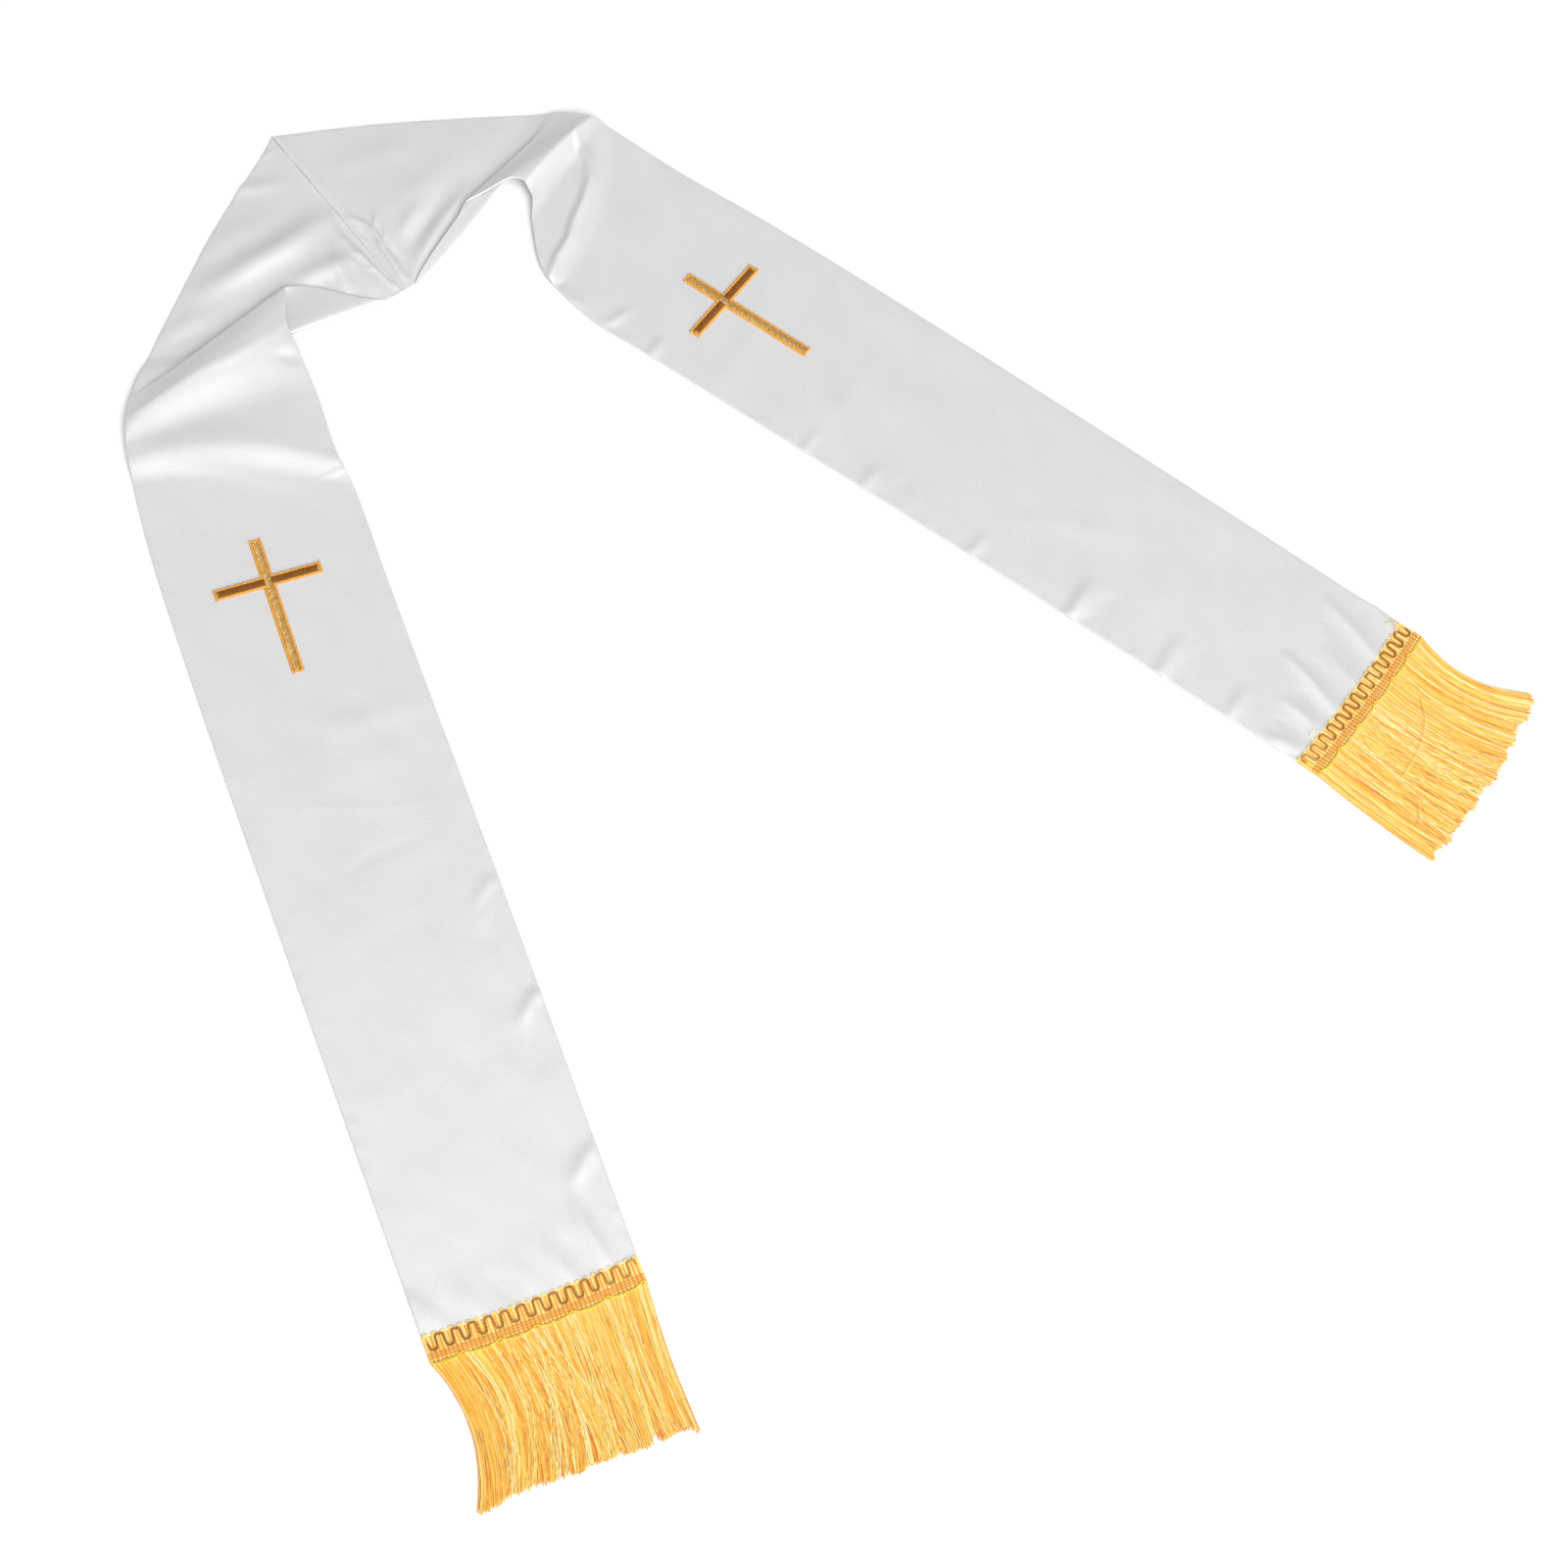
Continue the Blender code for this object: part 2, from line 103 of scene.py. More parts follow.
def makeCamera():
    elevation = math.radians(camSet["elevation"])
    roll = math.radians(camSet["roll"])
    place = Vector((0.0, -math.cos(elevation), math.sin(elevation))) * camSet["distance"]
    forward = Vector((0.0, math.cos(elevation), -math.sin(elevation)))
    upright = Vector((0.0, math.sin(elevation), math.cos(elevation)))
    sideways = Vector((1.0, 0.0, 0.0))
    right = sideways * math.cos(roll) + upright * math.sin(roll)
    up = upright * math.cos(roll) - sideways * math.sin(roll)
    turn = Matrix.Rotation(math.radians(camSet["heading"]), 3, "Z")
    right, up, forward, place = turn @ right, turn @ up, turn @ forward, turn @ place
    place += Vector((camSet["asideX"] + planShift[0] * mm, planShift[1] * mm, 0.0))
    lens = camSet["focalPixels"] / camSet["picturePixels"] * camSet["sensor"]
    bpy.ops.object.camera_add()
    camera = bpy.context.object
    camera.name = "photoCamera"
    camera.data.lens = lens
    camera.data.sensor_width = camSet["sensor"]
    camera.data.clip_end = camSet["clipEnd"]
    axes = Matrix((right, up, -forward)).transposed()
    camera.matrix_world = Matrix.Translation(place) @ axes.to_4x4()
    bpy.context.scene.camera = camera


makeCamera()
print("camera set")


# small helpers for materials
def setInputs(node, values):
    for name, value in values.items():
        node.inputs[name].default_value = value


def newMaterial(name, roughness, metallic=0.0, specular=0.5):
    material = bpy.data.materials.new(name)
    material.use_nodes = True
    shader = material.node_tree.nodes["Principled BSDF"]
    setInputs(shader, {"Roughness": roughness, "Metallic": metallic, "Specular IOR Level": specular})
    return material, material.node_tree, shader


def clothUV(tree):
    uv = tree.nodes.new("ShaderNodeUVMap")
    uv.uv_map = "clothUV"
    return uv.outputs["UV"]


def addRamp(tree, source, stops):
    ramp = tree.nodes.new("ShaderNodeValToRGB")
    while len(ramp.color_ramp.elements) < len(stops):
        ramp.color_ramp.elements.new(0.5)
    for element, (place, colour) in zip(ramp.color_ramp.elements, stops):
        element.position = place
        element.color = (*colour, 1.0)
    tree.links.new(source, ramp.inputs["Fac"])
    return ramp.outputs["Color"]


def addNoise(tree, source, scales, detail=2.0, roughness=0.5):
    # the mapping before the noise gives each axis its own scale
    mapping = tree.nodes.new("ShaderNodeMapping")
    mapping.inputs["Scale"].default_value = scales
    tree.links.new(source, mapping.inputs["Vector"])
    noise = tree.nodes.new("ShaderNodeTexNoise")
    setInputs(noise, {"Scale": 1.0, "Detail": detail, "Roughness": roughness})
    tree.links.new(mapping.outputs["Vector"], noise.inputs["Vector"])
    return noise.outputs["Fac"]


def addBump(tree, height, strength, distance, under=None):
    bump = tree.nodes.new("ShaderNodeBump")
    setInputs(bump, {"Strength": strength, "Distance": distance})
    tree.links.new(height, bump.inputs["Height"])
    if under is not None:
        tree.links.new(under, bump.inputs["Normal"])
    return bump.outputs["Normal"]


def addMultiply(tree, colour):
    # the other colour goes into input 7, and input 0 says how much of it
    mix = tree.nodes.new("ShaderNodeMix")
    mix.data_type = "RGBA"
    mix.blend_type = "MULTIPLY"
    mix.inputs[0].default_value = 1.0
    tree.links.new(colour, mix.inputs[6])
    return mix


# small helpers for meshes
def newPiece(name, points, faces, uvs, material, smooth=True):
    # points in plan millimetres; uvs is one pair for each point
    mesh = bpy.data.meshes.new(name)
    mesh.from_pydata(toFrame(points).tolist(), [], faces)
    layer = mesh.uv_layers.new(name="clothUV")
    corners = np.empty(len(mesh.loops), dtype=np.int64)
    mesh.loops.foreach_get("vertex_index", corners)
    layer.data.foreach_set("uv", np.asarray(uvs, dtype=np.float32)[corners].ravel())
    piece = bpy.data.objects.new(name, mesh)
    bpy.context.collection.objects.link(piece)
    mesh.materials.append(material)
    if smooth:
        mesh.shade_smooth()
    return piece


def threadMesh(paths, radius, sides=4, marks=None):
    # paths[thread, point, xyz]; gives points, faces and uvs of closed tubes along them.
    # u is a number that differs from thread to thread, v runs along the thread.
    paths = np.asarray(paths, dtype=float)
    count, steps = paths.shape[:2]
    radius = np.broadcast_to(np.asarray(radius, dtype=float), (count, steps))
    along = np.gradient(paths, axis=1)
    along /= np.linalg.norm(along, axis=2, keepdims=True) + 1e-12
    aside = np.cross(along, np.array([0.0, 0.0, 1.0]))
    aside /= np.linalg.norm(aside, axis=2, keepdims=True) + 1e-9
    above = np.cross(aside, along)
    corners = []
    for corner in range(sides):
        angle = 2.0 * math.pi * (corner + 0.5) / sides
        reach = aside * math.cos(angle) + above * math.sin(angle)
        corners.append(paths + reach * radius[:, :, None])
    points = np.stack(corners, axis=2).reshape(-1, 3)
    ids = np.arange(count * steps * sides).reshape(count, steps, sides)
    first = ids[:, :-1, :]
    second = ids[:, 1:, :]
    quads = np.stack([first, second, np.roll(second, -1, axis=2), np.roll(first, -1, axis=2)], -1)
    faces = quads.reshape(-1, 4).tolist()
    faces += ids[:, 0, :].tolist()
    faces += ids[:, -1, ::-1].tolist()
    if marks is None:
        marks = (np.arange(count) * 0.6180339) % 1.0
    u = np.broadcast_to(np.asarray(marks)[:, None, None], (count, steps, sides))
    v = np.broadcast_to(np.linspace(0.0, 1.0, steps)[None, :, None], (count, steps, sides))
    uvs = np.stack([u.ravel(), v.ravel()], axis=1)
    return points, faces, uvs


def pliedCord(path, plyRadius, plyOffset, turnLength, sides=5, stepsInTurn=7.0):
    # two plies wound round each other along one path of points
    path = np.asarray(path, dtype=float)
    run = runAlong(path)
    stops = np.linspace(0.0, run[-1], int(run[-1] / (turnLength / stepsInTurn)) + 2)
    core = np.stack([np.interp(stops, run, path[:, axis]) for axis in range(3)], axis=1)
    along = np.gradient(core, axis=0)
    along /= np.linalg.norm(along, axis=1, keepdims=True)
    aside = np.cross(along, np.array([0.0, 0.0, 1.0]))
    above = np.cross(aside, along)
    plies = []
    for start in (0.0, math.pi):
        angle = (stops / turnLength * 2.0 * math.pi + start)[:, None]
        plies.append(core + plyOffset * (aside * np.cos(angle) + above * np.sin(angle)))
    return threadMesh(np.array(plies), plyRadius, sides=sides)


# satin
# one row across the strip: name, outer x, outer y, outer lift, middle lift, inner x, inner y, inner lift,
# bow towards the hem, longest step to the next row
stripRows = {
    "left": [
        ("nape seam", 0, 585.5, 0, 0, 0, 430, 0, 0, 1.8),
        ("nape corner", -7, 580.6, 0, 0.3, -0.6, 430, 0, 0, 1.8),
        ("neck", -66, 547, 0, 2.4, -5, 430, 0, 0, 1.8),
        ("neck, lower", -124, 508.5, 0, 1.2, -9, 430.2, 0, 0, 1.8),
        ("neck foot", -161, 482.5, 0, 0, -13, 433.5, 0, 0, 1.8),
        ("before tuck", -176, 472, 2.2, 0.4, -16, 434.5, 0, 0, 1.2),
        ("under fold", -183, 466, 2.8, 1.3, -12, 431.0, 0.85, 0, 0.8),
        ("flap foot", -186.5, 462.5, 3.1, 2.4, -17, 433.5, 1.75, 0, 2.4),
        ("flap top", -190, 459.5, 3.5, 4.6, -56, 471, 5.4, 0, 0.8),
        ("upper fold", -193, 456, 4.0, 6.0, -62.5, 473.5, 6.6, 0, 0.7),
        ("panel start", -196, 452.5, 4.6, 7.3, -65, 469.5, 7.9, 0, 1.6),
        ("crest", -201, 446, 5.3, 10.4, -77, 450, 9.2, 0, 1.8),
        ("hollow", -210.5, 431, 3.9, 4.2, -91.5, 394, 3.6, -4, 2.0),
        ("lower ridge", -214.5, 422.5, 3.7, 5.9, -107, 345, 3.2, -12, 1.8),
        ("ridge foot", -221.5, 406, 0.5, 0.8, -110, 326, 0.2, -5, 2.0),
        ("panel", -240, 357, 0, 0, -117, 302, 0, 0, 2.4),
        ("panel, square", -258, 300, 0, 0, -129, 264, 0, 0, 2.6),
        ("panel, middle", -321, 84, 0, 0, -193, 52, 0, 0, 2.3),
        ("hem", -387, -147.5, 0, 0, -265, -181.5, 0, 2, 0),
    ],
    "right": [
        ("nape seam", 0, 585.5, 0, 0, 0, 430, 0, 0, 1.8),
        ("neck", 56, 558, 0, 1.6, 3, 430, 0, 0, 1.8),
        ("neck, lower", 108, 528.5, 0, 1.6, 6, 430.5, 0, 2, 1.8),
        ("before tuck", 150, 503, 0, 0.6, 10, 434.5, 0, 4, 1.2),
        ("under fold", 160, 496.5, 0.8, 1.2, 9, 430.6, 0.85, 5, 0.8),
        ("flap foot", 164, 494, 1.7, 2.4, 14, 434, 2.6, 4, 2.4),
        ("flap top", 167.5, 491.5, 2.6, 3.6, 62, 457, 5.4, 1, 1.0),
        ("upper fold", 171, 489, 3.2, 4.2, 74, 463, 6.2, 0, 0.8),
        ("panel start", 174, 486, 3.8, 5.2, 84, 462, 7.2, 0, 1.6),
        ("far slope", 179.5, 479.2, 5.0, 8.4, 105.5, 460.5, 9.3, 0, 1.4),
        ("crest", 184, 474, 5.4, 11.2, 112.5, 452.5, 9.8, 0, 1.4),
        ("notch", 185.3, 472.3, 5.0, 7.6, 112, 445, 7.2, 0, 1.8),
        ("hollow", 186.6, 470.3, 4.4, 3.4, 100.5, 427, 3.5, 3, 2.0),
        ("lower ridge", 188, 467.5, 3.2, 3.2, 82.5, 383, 2.4, 6, 1.4),
        ("ridge foot", 190, 462, 0.8, 0.3, 83.0, 372, 0.2, 13, 1.8),
        ("panel", 207, 404, 0, 0, 86.5, 342, 0, 5, 2.4),
        ("panel, square", 228, 343, 0, 0, 100, 299, 0, 0, 2.6),
        ("panel, middle", 298, 106, 0, 0, 172, 68, 0, 0, 2.3),
        ("hem", 365.5, -139, 0, 0, 245, -173, 0, 2, 0),
    ],
}

# height and width in millimetres, then the points of the crease
neckCreases = {
    "left": [
        # the two soft ridges that cross it and the small puckers at its outer corner
        (3.8, 9.5, [(-104, 503), (-80, 503), (-62, 503), (-43, 503), (-27, 505), (-8, 509)]),
        (2.0, 7.0, [(-58, 474), (-44, 474), (-28, 472), (-12, 469)]),
        (1.5, 3.4, [(-23, 478), (-26, 466), (-30, 450)]),
        (-0.6, 2.6, [(-17, 468), (-19, 456), (-22, 444)]),
        (1.0, 5.0, [(-52, 563), (-40, 560), (-30, 554), (-18, 550)]),
        (-0.6, 3.0, [(-30, 568), (-24, 565), (-17, 560)]),
        (0.5, 2.0, [(-16, 574), (-9, 575), (-4, 574)]),
        (0.8, 7.0, [(-150, 487), (-135, 489), (-115, 488)]),
        (0.7, 9.0, [(-95, 530), (-70, 531), (-40, 530)]),
        # the seam draws the cloth together
        (1.9, 2.1, [(-4, 508), (-9, 494), (-9.5, 481), (-7, 466), (-5, 450), (-3.5, 436)]),
        (-1.4, 1.4, [(-5, 494), (-4, 482), (-3, 471), (-2.4, 457), (-2, 442)]),
        (0.7, 1.3, [(-13, 476), (-8, 471), (-3, 468)]),
        (0.7, 1.2, [(-12, 488), (-8, 485), (-3, 483)]),
        (0.7, 1.3, [(-11, 459), (-7, 456), (-3, 455)]),
    ],
    "right": [
        # the seam allowance pressed to this side, then soft troughs and the raised rim at the flap
        (0.45, 2.2, [(3, 582), (3.2, 560), (3.2, 540), (3, 515)]),
        (0.35, 0.8, [(6.5, 576), (6, 560), (5.6, 540), (5.2, 520), (4.6, 500)]),
        (1.9, 1.9, [(4, 500), (9, 490), (10.5, 478), (8, 466), (7, 452), (6, 438)]),
        (-1.3, 1.5, [(4, 486), (4.6, 474), (3.6, 460), (2.8, 446)]),
        (1.0, 1.6, [(20, 492), (15, 486), (10, 480)]),
        (0.7, 1.3, [(17, 476), (12, 472), (8, 468)]),
        (-1.2, 2.2, [(13, 462), (12.5, 452), (11, 440)]),
        (1.0, 10.0, [(30, 488), (55, 493), (84, 500)]),
        (1.9, 5.0, [(17, 441), (24, 446), (36, 453), (52, 461), (68, 468), (82, 474)]),
        (-1.5, 6.0, [(24, 458), (36, 464), (50, 472), (66, 480)]),
        (1.5, 6.0, [(24, 468), (36, 475), (50, 481)]),
        (0.6, 9.0, [(20, 540), (45, 532), (70, 530)]),
    ],
}

panelCreases = {
    "left": [
        # panel at the shoulder
        (0.9, 4.0, [(-205, 437), (-193, 447), (-176, 448), (-156, 449), (-141, 449), (-124, 446),
                    (-102, 446), (-81, 448)]),
        (0.5, 1.0, [(-124, 341), (-118, 340), (-112, 339), (-104, 337)]),
        (-0.9, 4.5, [(-97, 432), (-93, 428), (-88, 422)]),
        (0.7, 7.0, [(-190, 398), (-170, 380), (-150, 362), (-135, 348)]),
        # press marks on the panel
        (0.2, 2.6, [(-262, 212), (-272, 190), (-280, 147)]),
        (0.16, 2.4, [(-280, 147), (-261, 157), (-240, 140), (-217, 124), (-196, 116)]),
        (-0.35, 3.0, [(-262, 104), (-249, 106), (-236, 104), (-220, 100)]),
        (0.3, 6.0, [(-250, 40), (-262, 10), (-270, -25)]),
        (0.35, 7.0, [(-300, 20), (-290, -10), (-296, -50)]),
        (0.4, 8.0, [(-235, 210), (-215, 190), (-190, 180), (-165, 172)]),
        # small dimples along the inner edge
        (0.35, 3.0, [(-177, 77), (-184, 74), (-193, 68)]),
        (0.7, 3.5, [(-196, 52), (-204, 50), (-214, 44)]),
        (-0.7, 5.0, [(-204, 30), (-212, 26), (-222, 20)]),
        (1.2, 4.0, [(-215, -22), (-223, -24), (-236, -32)]),
        (-0.8, 6.0, [(-222, -42), (-232, -48), (-245, -58)]),
        (1.2, 4.5, [(-246, -116), (-255, -120), (-268, -128)]),
        (-0.8, 4.5, [(-252, -132), (-261, -138), (-272, -146)]),
        # gathers above the braid
        (0.9, 6.0, [(-383, -126), (-379, -136), (-375, -152)]),
        (-0.5, 2.6, [(-367, -142), (-367, -148), (-368, -157)]),
        (0.55, 5.0, [(-356, -138), (-355, -148), (-354, -160)]),
        (-0.4, 2.6, [(-337, -142), (-337, -152), (-336, -164)]),
        (0.5, 4.0, [(-322, -144), (-322, -154), (-322, -166)]),
        (0.7, 4.0, [(-302, -148), (-303, -158), (-303, -172)]),
        (-0.5, 2.6, [(-292, -150), (-293, -160), (-293, -174)]),
        (1.0, 4.0, [(-275, -136), (-279, -152), (-281, -176)]),
        (-0.6, 2.8, [(-268, -150), (-272, -162), (-273, -178)]),
    ],
    "right": [
        # panel at the shoulder
        (0.6, 2.6, [(82, 382), (91, 388), (104, 396)]),
        (-0.5, 2.8, [(82, 378), (91, 375), (97, 366)]),
        (0.7, 3.0, [(84, 372), (86, 362), (90, 350)]),
        (3.2, 3.2, [(168, 469), (163.5, 460), (160.5, 447), (152, 432), (138.5, 420.5), (123.5, 410.5),
                    (113, 401), (96, 392.5), (85, 384)]),
        (-0.7, 6.0, [(120, 446), (134, 449), (148, 452), (151, 444), (144, 438)]),
        # small dimples along the inner edge
        (0.9, 3.5, [(92, 334), (99, 332), (110, 333)]),
        (1.1, 3.5, [(100, 297), (106, 298), (114, 302)]),
        (0.8, 3.0, [(134, 182), (141, 182), (152, 186)]),
        (1.0, 4.0, [(150, 137), (157, 138), (168, 143)]),
        (-0.7, 5.0, [(156, 118), (166, 120), (178, 124)]),
        (0.9, 3.5, [(174, 58), (181, 59), (192, 63)]),
        (1.6, 4.5, [(195, -13), (204, -12), (222, -4)]),
        (-1.0, 5.0, [(200, -28), (210, -26), (226, -20)]),
        (1.3, 5.0, [(215, -78), (224, -76), (240, -68)]),
        (-0.8, 5.0, [(220, -94), (230, -92), (246, -84)]),
        (1.1, 4.0, [(231, -126), (240, -124), (252, -118)]),
        # soft waves of the panel
        (0.45, 10.0, [(120, 250), (150, 262), (185, 282)]),
        (0.45, 9.0, [(160, 190), (190, 196), (225, 212)]),
        (0.4, 9.0, [(215, 60), (240, 40), (262, 10)]),
        # gathers above the braid
        (1.1, 4.0, [(242, -150), (247, -158), (251, -168)]),
        (-0.84, 2.6, [(256, -146), (259, -156), (261, -168)]),
        (1.1, 3.5, [(268, -138), (270, -150), (271, -166)]),
        (-0.98, 2.6, [(281, -138), (281, -150), (280, -164)]),
        (1.5, 3.0, [(291, -116), (291, -138), (289, -162)]),
        (-1.1, 2.6, [(302, -130), (301, -144), (299, -160)]),
        (0.84, 3.5, [(315, -130), (313, -142), (311, -158)]),
        (-1.1, 2.6, [(328, -112), (326, -134), (323, -156)]),
        (1.5, 3.4, [(339, -102), (338, -126), (336, -152)]),
        (-0.98, 2.6, [(352, -118), (350, -134), (348, -150)]),
        (1.1, 3.2, [(362, -110), (361, -126), (359, -146)]),
    ],
}

satinSet = {
    "wall": 1.2,
    "edgeRound": 0.9,          # how far the sewn edge rounds off
    "napeRound": 0.7,          # the nape seam counts as this far from a border
    "pastNape": 9.0,           # and the rows beyond it as this much farther
    "columnStep": 2.2,
    "edgeStops": [0.0, 0.2, 0.55, 1.0, 1.9, 3.2, 5.0],
    "seamLines": [0.0, 0.004, 0.01, 0.018],
    "hemLines": [0.994, 0.9965, 0.9985, 1.0],
    "fewestLines": 4,
    "width": 133.0,
    "length": 868.0,
    "tuckUnderBraid": 2.6,     # how far the hem goes on under the braid
    "hemReach": 20.0,          # the part of the panel that is let out for it
    "neckFade": 0.4,           # in rows, before the tuck
    "panelDelay": 0.6,         # in rows, after the tuck
    "panelFade": 0.8,
    "waveSize": 95.0,
    "rippleSize": 34.0,
    "rippleShare": 0.25,
    "floatHeight": 0.45,       # how far the flat panels lift from the floor here and there
    "floatMean": 0.75,
    "floatSwing": 0.55,
    "neckSwing": 0.35,
    "quietReach": 52.0,        # no waves this near the crossing of a cross
    "quietFade": 40.0,
    "edgeCalm": 14.0,
    "edgePucker": 0.16,
    "puckerIn": 3.2,           # how far from the edge the puckers lie
    "puckerWidth": 2.2,
    "puckerPitch": (3.1, 17.0, 41.0),
    "puckerSwing": 1.7,
    "seamDip": (0.28, 0.9),    # depth and width
    "seamRoll": (0.75, 1.2, 1.1),    # height, distance from the seam, width
    "above": 0.02,             # least height of the wall's underside
}


def gentleSlopes(params, values):
    # slopes that never overshoot, so the folded layers keep clear of each other
    steps = np.diff(params)
    chords = np.diff(values, axis=0) / steps[:, None]
    slopes = np.zeros_like(values)
    slopes[0], slopes[-1] = chords[0], chords[-1]
    for row in range(1, len(values) - 1):
        before, after = chords[row - 1], chords[row]
        sameWay = before * after > 0.0
        weightBefore = 2.0 * steps[row] + steps[row - 1]
        weightAfter = steps[row] + 2.0 * steps[row - 1]
        safeBefore = np.where(sameWay, before, 1.0)
        safeAfter = np.where(sameWay, after, 1.0)
        mean = (weightBefore + weightAfter) / (weightBefore / safeBefore + weightAfter / safeAfter)
        slopes[row] = np.where(sameWay, mean, 0.0)
    return slopes


def rowPoint(row, across):
    name, outerX, outerY, outerLift, middleLift, innerX, innerY, innerLift, bow, step = row
    outer = np.array([outerX, outerY], float)
    line = np.array([innerX, innerY], float) - outer
    place = outer + line * across + hemward(line) * (bow * arch(across))
    lift = threeWay((outerLift, middleLift, innerLift), across)
    return np.array([place[0], place[1], satinSet["wall"] / 2.0 + lift])


def satinGrid(rows):
    # middle surface of the cloth: points, the row number of each line and the share across of each column
    width = satinSet["width"]
    edge = np.array(satinSet["edgeStops"]) / width
    inside = int((width - 2.0 * satinSet["edgeStops"][-1]) / satinSet["columnStep"])
    middle = np.linspace(edge[-1], 1.0 - edge[-1], inside + 1)
    across = np.concatenate([edge[:-1], middle, 1.0 - edge[-2::-1]])
    knots = np.array([[rowPoint(row, a) for a in across] for row in rows])
    spans = np.linalg.norm(np.diff(knots, axis=0), axis=2)
    stops = []
    for index in range(len(rows) - 1):
        cells = max(satinSet["fewestLines"], int(math.ceil(spans[index].max() / rows[index][9])))
        ts = np.arange(cells) / cells
        if index == 0:
            ts = np.concatenate([satinSet["seamLines"], ts[1:]])
        if index == len(rows) - 2:
            ts = np.concatenate([ts, satinSet["hemLines"]])
        stops += [(index, t) for t in ts]
    grid = np.empty((len(stops), len(across), 3))
    for column in range(len(across)):
        params = np.concatenate([[0.0], np.cumsum(spans[:, column])])
        slopes = gentleSlopes(params, knots[:, column])
        for line, (index, t) in enumerate(stops):
            span = spans[index, column]
            grid[line, column] = (
                (2 * t ** 3 - 3 * t ** 2 + 1) * knots[index, column]
                + (3 * t ** 2 - 2 * t ** 3) * knots[index + 1, column]
                + (t ** 3 - 2 * t ** 2 + t) * span * slopes[index]
                + (t ** 3 - t ** 2) * span * slopes[index + 1])
    return grid, np.array([index + t for index, t in stops]), across


def creaseLift(places, points, width, least=0.35):
    # 1 on the line of the crease, falling away beside it and to its least share at both ends
    points = np.array(points, float)
    run = runAlong(points)
    best = np.full(len(places), np.inf)
    share = np.zeros(len(places))
    for index in range(len(points) - 1):
        start, line = points[index], points[index + 1] - points[index]
        t = np.clip(((places - start) @ line) / (line @ line), 0.0, 1.0)
        away = np.linalg.norm(places - start - t[:, None] * line, axis=1)
        closer = away < best
        best = np.where(closer, away, best)
        reached = run[index] + t * (run[index + 1] - run[index])
        share = np.where(closer, reached / run[-1], share)
    taper = least + (1.0 - least) * np.sin(math.pi * np.clip(share, 0.0, 1.0)) ** 0.8
    return bell(best, width) * taper


def softNoise(places, seed, size, waves=7, level=3.6):
    # a smooth, uneven field between about -1 and 1 from a few crossed waves
    draw = random.Random(seed)
    total = np.zeros(len(places))
    for wave in range(waves):
        angle = draw.uniform(0.0, 2.0 * math.pi)
        pitch = size * draw.uniform(0.7, 1.6)
        shift = draw.uniform(0.0, 2.0 * math.pi)
        reach = places[:, 0] * math.cos(angle) + places[:, 1] * math.sin(angle)
        total += np.sin(reach * 2.0 * math.pi / pitch + shift)
    return total / level


def satinLift(key, side, grid, marks, edgeAway, runs, crossPlace):
    # what creases, soft waves, puckers and the nape seam add to the height of each point
    names = [row[0] for row in stripRows[key]]
    shape = grid.shape[:2]
    places = grid[:, :, :2].reshape(-1, 2)
    # how much of a lift for the neck, the panel or its flat part reaches each row
    neckShare = np.clip((names.index("before tuck") - marks) / satinSet["neckFade"], 0.0, 1.0)[:, None]
    afterTuck = marks - names.index("panel start") - satinSet["panelDelay"]
    panelShare = np.clip(afterTuck / satinSet["panelFade"], 0.0, 1.0)[:, None]
    flatShare = np.clip(marks - names.index("ridge foot"), 0.0, 1.0)[:, None]
    lift = np.zeros(shape)
    for table, share in ((neckCreases, neckShare), (panelCreases, panelShare)):
        for height, width, points in table[key]:
            lift += height * creaseLift(places, points, width).reshape(shape) * share
    # the flat panel lifts a little from the floor, but not under its cross
    waves = softNoise(places, 11 if side < 0 else 12, satinSet["waveSize"])
    waves += satinSet["rippleShare"] * softNoise(places, 21 if side < 0 else 22, satinSet["rippleSize"])
    waves = waves.reshape(shape)
    fromCross = np.linalg.norm(grid[:, :, :2] - np.array(crossPlace[:2]), axis=2)
    quiet = np.clip((fromCross - satinSet["quietReach"]) / satinSet["quietFade"], 0.0, 1.0)
    calm = np.clip(edgeAway / satinSet["edgeCalm"], 0.0, 1.0)
    floating = satinSet["floatHeight"] * (satinSet["floatMean"] + satinSet["floatSwing"] * waves)
    lift += floating * calm * quiet * flatShare
    lift += satinSet["neckSwing"] * waves * neckShare * calm
    # the seam along each edge draws up small uneven puckers
    short, middle, wide = satinSet["puckerPitch"]
    pucker = np.sin(runs / short + satinSet["puckerSwing"] * np.sin(runs / middle))
    pucker *= np.sin(runs / wide + side)
    band = bell(edgeAway - satinSet["puckerIn"], satinSet["puckerWidth"])
    lift += satinSet["edgePucker"] * pucker * band * (panelShare + neckShare)
    # the nape seam: both edges dip into it, the left one after a small roll
    fromSeam = np.abs(grid[:, :, 0])
    atNape = (marks < 2.0)[:, None]
    depth, width = satinSet["seamDip"]
    lift -= depth * bell(fromSeam, width) * atNape
    if side < 0:
        height, away, width = satinSet["seamRoll"]
        lift += height * bell(fromSeam - away, width) * atNape
    return lift


